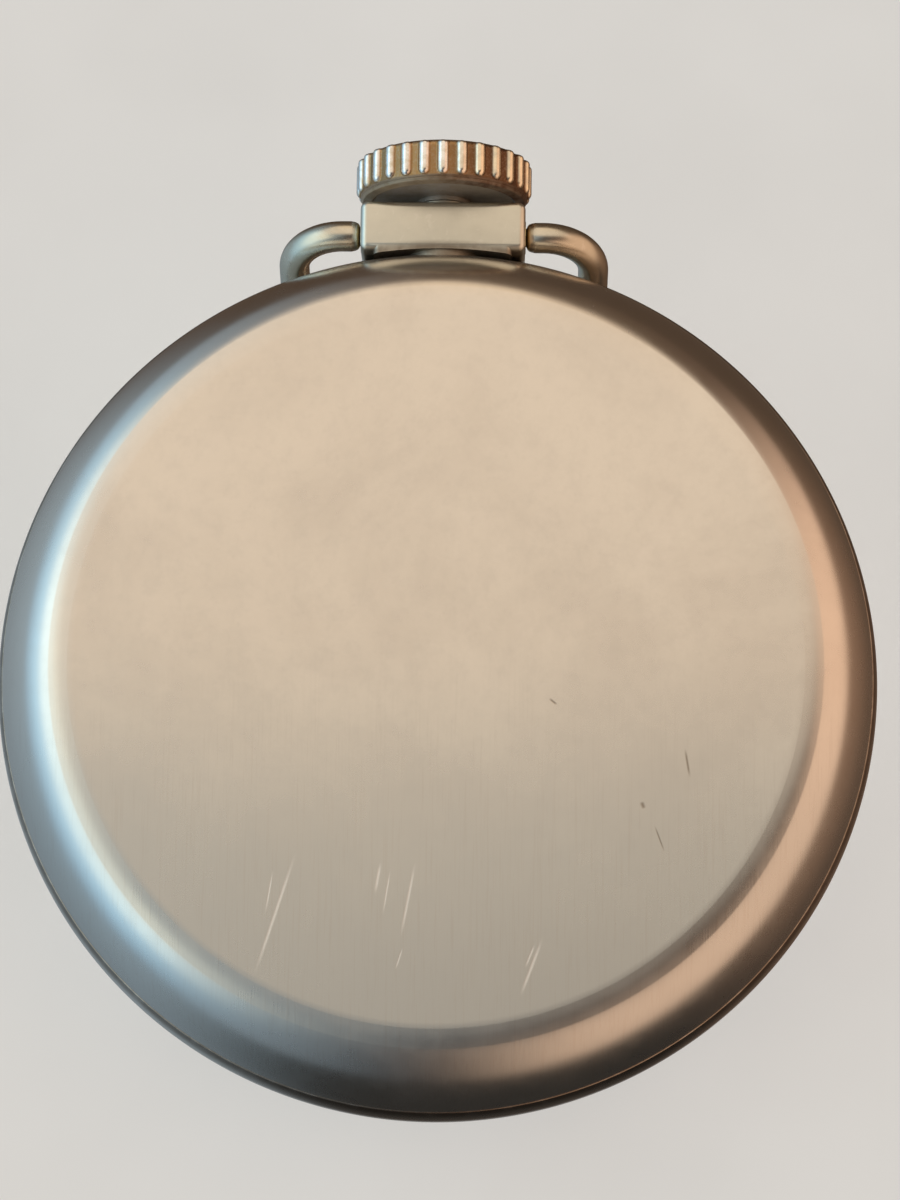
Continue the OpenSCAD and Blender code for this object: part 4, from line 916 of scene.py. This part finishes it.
# ---------------------------------------------------------------- carried-over CAD nodes
def smooth_group(deg):
    g = bpy.data.node_groups.new("smooth_by_angle", "GeometryNodeTree")
    g.interface.new_socket("Geometry", in_out="INPUT", socket_type="NodeSocketGeometry")
    g.interface.new_socket("Geometry", in_out="OUTPUT", socket_type="NodeSocketGeometry")
    gi, go = g.nodes.new("NodeGroupInput"), g.nodes.new("NodeGroupOutput")
    rm = g.nodes.new("GeometryNodeRemoveAttribute")
    rm.inputs["Name"].default_value = "custom_normal"
    mb = g.nodes.new("GeometryNodeMergeByDistance")
    mb.inputs["Distance"].default_value = 3e-7
    ea = g.nodes.new("GeometryNodeInputMeshEdgeAngle")
    cm = g.nodes.new("FunctionNodeCompare")
    cm.data_type, cm.operation = "FLOAT", "LESS_THAN"
    cm.inputs[1].default_value = radians(deg)
    s1, s2 = g.nodes.new("GeometryNodeSetShadeSmooth"), g.nodes.new("GeometryNodeSetShadeSmooth")
    s1.domain, s2.domain = "FACE", "EDGE"
    L = g.links.new
    L(gi.outputs[0], rm.inputs["Geometry"])
    L(rm.outputs[0], mb.inputs["Geometry"])
    L(mb.outputs[0], s1.inputs["Geometry"])
    L(s1.outputs[0], s2.inputs["Geometry"])
    L(ea.outputs[0], cm.inputs[0])
    L(cm.outputs[0], s2.inputs["Shade Smooth"])
    L(s2.outputs[0], go.inputs[0])
    return g


SMOOTH = smooth_group(30)
BEVEL = {"main_plate": 0.05, "barrel_bridge": 0.07, "train_bridge": 0.07, "balance_cock": 0.06, "pallet_bridge": 0.04,
         "ratchet_wheel": 0.03, "crown_wheel": 0.03, "dial": 0.05, "barrel": 0.03, "click": 0.03, "regulator": 0.03,
         "plate_screws": 0.03, "ratchet_screw": 0.04, "crown_wheel_screw": 0.04, "case_screws": 0.04}
plates = {"barrel_bridge", "train_bridge", "balance_cock", "pallet_bridge"}
gilt = {"barrel", "barrel_cover"}
gold = {"balance_wheel", "balance_screws"}
wheels = {"center_wheel", "third_wheel", "fourth_wheel", "escape_wheel", "hour_wheel", "minute_wheel"}
steels = {"ratchet_wheel", "crown_wheel"}
blues = {"seconds_hand", "case_screws", "dial_foot_screws", "plate_screws", "ratchet_screw", "crown_wheel_screw",
         "click_spring", "clutch_spring", "hairspring"}
reds = {"endstone", "jewels", "pallet_stones"}
stood_for = {"back_cover", "case_center", "bezel", "crystal", "crown", "pendant", "bow", "hour_hand", "minute_hand"}
for name, o in sorted(nodes.items()):
    if name in stood_for:
        continue
    if name in plates:
        m = m_plate
    elif name == "main_plate":
        m = m_pillar
    elif name == "dial":
        m = m_enamel
    elif name in gilt:
        m = m_gilt
    elif name in gold:
        m = m_gold
    elif name in wheels:
        m = circular(name + "_brass", (0.90, 0.70, 0.36), centre(name), 0.22, (0.80, 0.58, 0.26)).m
    elif name in steels:
        m = circular(name + "_metal", (0.78, 0.78, 0.79), centre(name), 0.2, (0.66, 0.66, 0.68)).m
    elif name in blues:
        m = m_blue
    elif name in reds:
        m = m_ruby
    elif name == "mainspring":
        m = m_spring
    elif name == "bow_bushes":
        m = m_bush
    elif name == "pendant_sleeve":
        m = m_pend
    else:
        m = m_polish
    if not o.data.materials:
        o.data.materials.append(m)
    for s in o.material_slots:
        s.material = m
    g = o.modifiers.new("smooth", "NODES")
    g.node_group = SMOOTH
    if name in BEVEL:
        b = o.modifiers.new("edges", "BEVEL")
        b.width = BEVEL[name] * MM
        b.segments = 2
        b.limit_method = "ANGLE"
        b.angle_limit = radians(50)
        b.harden_normals = True


# ---------------------------------------------------------------- stage, light, camera
scene = bpy.context.scene
scene.view_settings.view_transform = "Standard"
scene.view_settings.look = "None"
scene.view_settings.exposure = 0.0
scene.view_settings.gamma = 1.0


def stage_plane(name, verts, uvn, fade=None, min_dot=0.9):
    me = bpy.data.meshes.new(name)
    me.from_pydata([tuple(c * MM for c in v) for v in verts], [], [(0, 1, 2, 3)])
    ob = bpy.data.objects.new(name, me)
    COL.objects.link(ob)
    M = Mat(name + "_paper")
    n = M.noise(M.mm, 0.05, 3.0)
    c = M.mix(M.step(n, 0.3, 0.7), (0.80, 0.79, 0.765), (0.77, 0.76, 0.735))
    M.set(Base_Color=M.mix(0.72, c, (0.0, 0.0, 0.0)), Metallic=0.0, Roughness=0.9, Specular_IOR_Level=0.1,
          Emission_Color=c, Emission_Strength=0.66)
    lp = M.n("ShaderNodeLightPath")
    dot = M.vmath("DOT_PRODUCT", M.geo.outputs["Incoming"], uvn)
    if min_dot > 0.5:
        # seen only by a camera that stands square behind the watch, whatever its height
        ix, iy, iz = M.xyz(M.geo.outputs["Incoming"])
        dot = M.math("DIVIDE", iy, M.math("SQRT", M.math("ADD", M.math("MULTIPLY", ix, ix), M.math("MULTIPLY", iy, iy))))
    vis = M.step(dot, min_dot, min_dot + 0.02)
    if fade:
        ln = M.vmath("LENGTH", M.vmath("SUBTRACT", M.mm, fade[0]))
        vis = M.math("MULTIPLY", vis, M.step(ln, fade[1], fade[2], 1.0, 0.0))
    vis = M.math("MULTIPLY", vis, lp.outputs["Is Camera Ray"])
    tr = M.n("ShaderNodeBsdfTransparent")
    mx = M.n("ShaderNodeMixShader")
    M.put(mx.inputs[0], vis)
    M.put(mx.inputs[1], tr.outputs[0])
    M.put(mx.inputs[2], M.b.outputs[0])
    M.put(M.out.inputs[0], mx.outputs[0])
    me.materials.append(M.m)
    ob.visible_diffuse = ob.visible_glossy = ob.visible_transmission = ob.visible_shadow = False
    return ob


# the sheet the watch lies on, face down, tipped a little so that the bow's end and the bezel both touch it
slope = 0.195
nrm = Vector((0.0, 1.0, slope)).normalized()
S = 320.0
stage_plane("sheet", [(-S, -6.35 - slope * (-S + 23), -S), (-S, -6.35 - slope * (S + 23), S),
                      (S, -6.35 - slope * (S + 23), S), (S, -6.35 - slope * (-S + 23), -S)], tuple(nrm), None, 0.90)
# the level floor under the upright watch, for the views from round about
stage_plane("floor", [(-S, -S, -25.6), (S, -S, -25.6), (S, S, -25.6), (-S, S, -25.6)], (0.0, 0.0, 1.0),
            ((0.0, 0.0, -25.6), 90.0, 260.0), 0.02)


def backdrop():
    """Dim surroundings behind the watch, seen only in reflections that leave its back half."""
    D = 900.0
    me = bpy.data.meshes.new("backdrop")
    me.from_pydata([tuple(c * MM for c in v) for v in ((-D, -15.2, -D), (-D, -15.2, D), (D, -15.2, D), (D, -15.2, -D))],
                   [], [(0, 1, 2, 3)])
    ob = bpy.data.objects.new("backdrop", me)
    COL.objects.link(ob)
    M = Mat("backdrop_paper")
    deg = 180 / pi
    inc = M.geo.outputs["Incoming"]
    ix, iy, iz = M.xyz(inc)
    dx, dy, dz = M.math("MULTIPLY", ix, -1.0), M.math("MULTIPLY", iy, -1.0), M.math("MULTIPLY", iz, -1.0)
    t_ = M.math("MULTIPLY", M.math("ARCCOSINE", dy), deg)
    phi = M.math("MULTIPLY", M.math("ARCTAN2", dz, dx), deg)

    def around(centre_phi, half, soft):
        dp = M.math("ABSOLUTE", M.math("SUBTRACT", M.math("MODULO", M.math("ADD", M.math("SUBTRACT", phi, centre_phi), 900.0), 360.0), 180.0))
        return M.step(dp, half, half + soft, 1.0, 0.0)
    c = M.mix(M.step(dz, -0.6, 0.5), P["cloth_low"], P["cloth_high"])
    c = M.mix(M.math("MULTIPLY", around(180.0, 14.0, 40.0), M.step(t_, 108, 150, 1.0, 0.25)), c, P["cloth_warm"])
    c = M.mix(M.math("MULTIPLY", around(-3.0, 30.0, 42.0), M.step(t_, 100, 165, 1.0, 0.62)), c, P["cloth_cool"])
    em = M.n("ShaderNodeEmission")
    M.put(em.inputs[0], c)
    lp = M.n("ShaderNodeLightPath")
    oy = M.math("ADD", M.xyz(M.mm)[1], M.math("MULTIPLY", M.math("MULTIPLY", iy, lp.outputs["Ray Length"]), 1000.0))
    ox = M.math("ADD", M.xyz(M.mm)[0], M.math("MULTIPLY", M.math("MULTIPLY", ix, lp.outputs["Ray Length"]), 1000.0))
    oz = M.math("ADD", M.xyz(M.mm)[2], M.math("MULTIPLY", M.math("MULTIPLY", iz, lp.outputs["Ray Length"]), 1000.0))
    arms = M.math("MULTIPLY", M.step(M.math("ABSOLUTE", ox), 4.9, 5.3), M.step(oz, 22.0, 24.0))
    vis = M.math("MAXIMUM", M.step(oy, -1.5, 0.0), M.math("MULTIPLY", arms, M.step(oy, -6.0, -4.0)))
    vis = M.math("MULTIPLY", M.math("MULTIPLY", vis, M.step(t_, 94.0, 101.0)), lp.outputs["Is Glossy Ray"])
    tr = M.n("ShaderNodeBsdfTransparent")
    mx = M.n("ShaderNodeMixShader")
    M.put(mx.inputs[0], vis)
    M.put(mx.inputs[1], tr.outputs[0])
    M.put(mx.inputs[2], em.outputs[0])
    M.put(M.out.inputs[0], mx.outputs[0])
    me.materials.append(M.m)
    ob.visible_camera = ob.visible_diffuse = ob.visible_transmission = ob.visible_shadow = False


def world():
    w = bpy.data.worlds.new("studio")
    scene.world = w
    w.use_nodes = True
    t = w.node_tree
    t.nodes.clear()

    class W(Mat):
        def __init__(self):
            self.t = t
    M = W()
    tc = M.n("ShaderNodeTexCoord")
    d = M.vmath("NORMALIZE", tc.outputs["Generated"])
    x, y, z = M.xyz(d)
    deg = 180 / pi
    t_ = M.math("MULTIPLY", M.math("ARCCOSINE", M.math("MAXIMUM", M.math("MINIMUM", y, 1.0), -1.0)), deg)
    phi = M.math("MULTIPLY", M.math("ARCTAN2", z, x), deg)
    el = M.math("MULTIPLY", M.math("ARCSINE", M.math("MAXIMUM", M.math("MINIMUM", z, 1.0), -1.0)), deg)

    az = M.math("MULTIPLY", M.math("ARCTAN2", x, y), deg)

    def around(centre_phi, half, soft):
        dp = M.math("ABSOLUTE", M.math("SUBTRACT", M.math("MODULO", M.math("ADD", M.math("SUBTRACT", phi, centre_phi), 900.0), 360.0), 180.0))
        return M.step(dp, half, half + soft, 1.0, 0.0)

    def lobe(centre_phi, half, soft, t0, t1, t2, t3):
        return M.math("MULTIPLY", around(centre_phi, half, soft),
                      M.math("MULTIPLY", M.step(t_, t0, t1), M.step(t_, t2, t3, 1.0, 0.0)))

    # dim room round the watch: brown overhead and to -X, blue grey to +X, black below
    c = M.mix(M.step(el, -35, 30), P["dark_low"], P["dark_high"])
    c = M.mix(around(0.0, 50.0, 40.0), c, P["dark_cool"])
    c = M.mix(around(180.0, 30.0, 50.0), c, P["dark_warm"])
    # three soft lights: a window to +X, a lamp to -X, a pale ceiling in front and above
    win = M.mix(M.step(t_, 34, 50), (1.18, 1.13, 0.95), P["cool"])
    win = M.mix(M.step(t_, 60, 76), win, P["cool_far"])
    win = M.mix(M.step(t_, 76, 96), win, P["cool_end"])
    c = M.mix(lobe(*P["cool_at"]), c, win)
    c = M.mix(lobe(*P["warm_at"]), c, P["warm"])
    ex = M.math("DIVIDE", az, P["mid_w"])
    ey = M.math("SUBTRACT", el, P["mid_c"])
    ey = M.math("DIVIDE", ey, M.step(ey, -1.0, 1.0, P["mid_h"], P["mid_up"]))
    er = M.math("SQRT", M.math("ADD", M.math("MULTIPLY", ex, ex), M.math("MULTIPLY", ey, ey)))
    mid = M.mix(M.step(el, 0, 12), P["mid_low"], P["mid_high"])
    mid = M.mix(M.step(el, 35, 65), mid, P["mid_top"])
    mid = M.mix(M.math("MULTIPLY", M.step(az, 4, 30), 0.6), mid, P["mid_left"])
    facing = M.step(t_, 88, 112, 1.0, 0.0)
    c = M.mix(M.math("MULTIPLY", M.step(er, 0.72, 1.04, 1.0, 0.0), facing), c, mid)
    front = M.mix(M.step(el, -30, 50), (0.34, 0.34, 0.34), (0.62, 0.62, 0.62))
    c = M.mix(M.step(t_, 138, 165), c, front)
    bg = M.n("ShaderNodeBackground")
    M.put(bg.inputs[0], c)
    bg.inputs[1].default_value = 1.0
    plain = M.n("ShaderNodeBackground")
    M.put(plain.inputs[0], (0.80, 0.79, 0.765))
    plain.inputs[1].default_value = 1.0
    lp = M.n("ShaderNodeLightPath")
    mx = M.n("ShaderNodeMixShader")
    M.put(mx.inputs[0], lp.outputs["Is Camera Ray"])
    M.put(mx.inputs[1], bg.outputs[0])
    M.put(mx.inputs[2], plain.outputs[0])
    out = M.n("ShaderNodeOutputWorld")
    M.put(out.inputs[0], mx.outputs[0])


P = {
    "dark_low": (0.042, 0.038, 0.037), "dark_high": (0.12, 0.078, 0.05),
    "dark_cool": (0.30, 0.36, 0.41), "dark_warm": (0.11, 0.065, 0.045),
    "mid_high": (0.93, 0.77, 0.61), "mid_low": (0.66, 0.58, 0.48), "mid_top": (1.0, 0.78, 0.56), "mid_left": (0.92, 0.84, 0.74),
    "mid_w": 49.0, "mid_c": 42.0, "mid_h": 50.0, "mid_up": 32.0,
    "cool": (1.24, 1.48, 1.53), "cool_at": (0, 30, 30, 16, 32, 92, 114), "cool_far": (0.62, 0.95, 1.20),
    "cool_end": (0.42, 0.60, 0.76),
    "warm": (1.02, 0.68, 0.475), "warm_at": (198, 44, 30, 28, 44, 86, 116),
    "cloth_low": (0.030, 0.027, 0.024), "cloth_high": (0.085, 0.055, 0.036), "cloth_warm": (0.26, 0.15, 0.095),
    "cloth_cool": (0.34, 0.42, 0.48),
}
backdrop()
world()


def area(name, loc, target, size, power, color):
    l = bpy.data.lights.new(name, "AREA")
    l.shape = "DISK"
    l.size = size
    l.energy = power
    l.color = color
    o = bpy.data.objects.new(name, l)
    o.location = loc
    o.rotation_euler = (Vector(target) - Vector(loc)).to_track_quat("-Z", "Y").to_euler()
    COL.objects.link(o)
    return o


area("soft_front", (-0.20, -0.46, 0.34), (0, 0, 0), 0.34, 7.5, (1.0, 0.98, 0.95)).visible_glossy = False
area("soft_side", (0.42, -0.20, 0.30), (0, 0, 0), 0.30, 2.0, (0.94, 0.97, 1.0)).visible_glossy = False

cam = bpy.data.objects.new("camera", bpy.data.cameras.new("camera"))
COL.objects.link(cam)
cam.location = (-0.004, 0.220, -0.040)
aim = Vector((-0.00068, 0.0, 0.00461))
look = (aim - cam.location).to_track_quat("-Z", "Y")
cam.rotation_euler = (look @ Quaternion((0.0, 0.0, 1.0), radians(0.77))).to_euler()
cam.data.lens = 115.8
cam.data.sensor_width = 36.0
cam.data.clip_start, cam.data.clip_end = 0.01, 5.0
scene.camera = cam
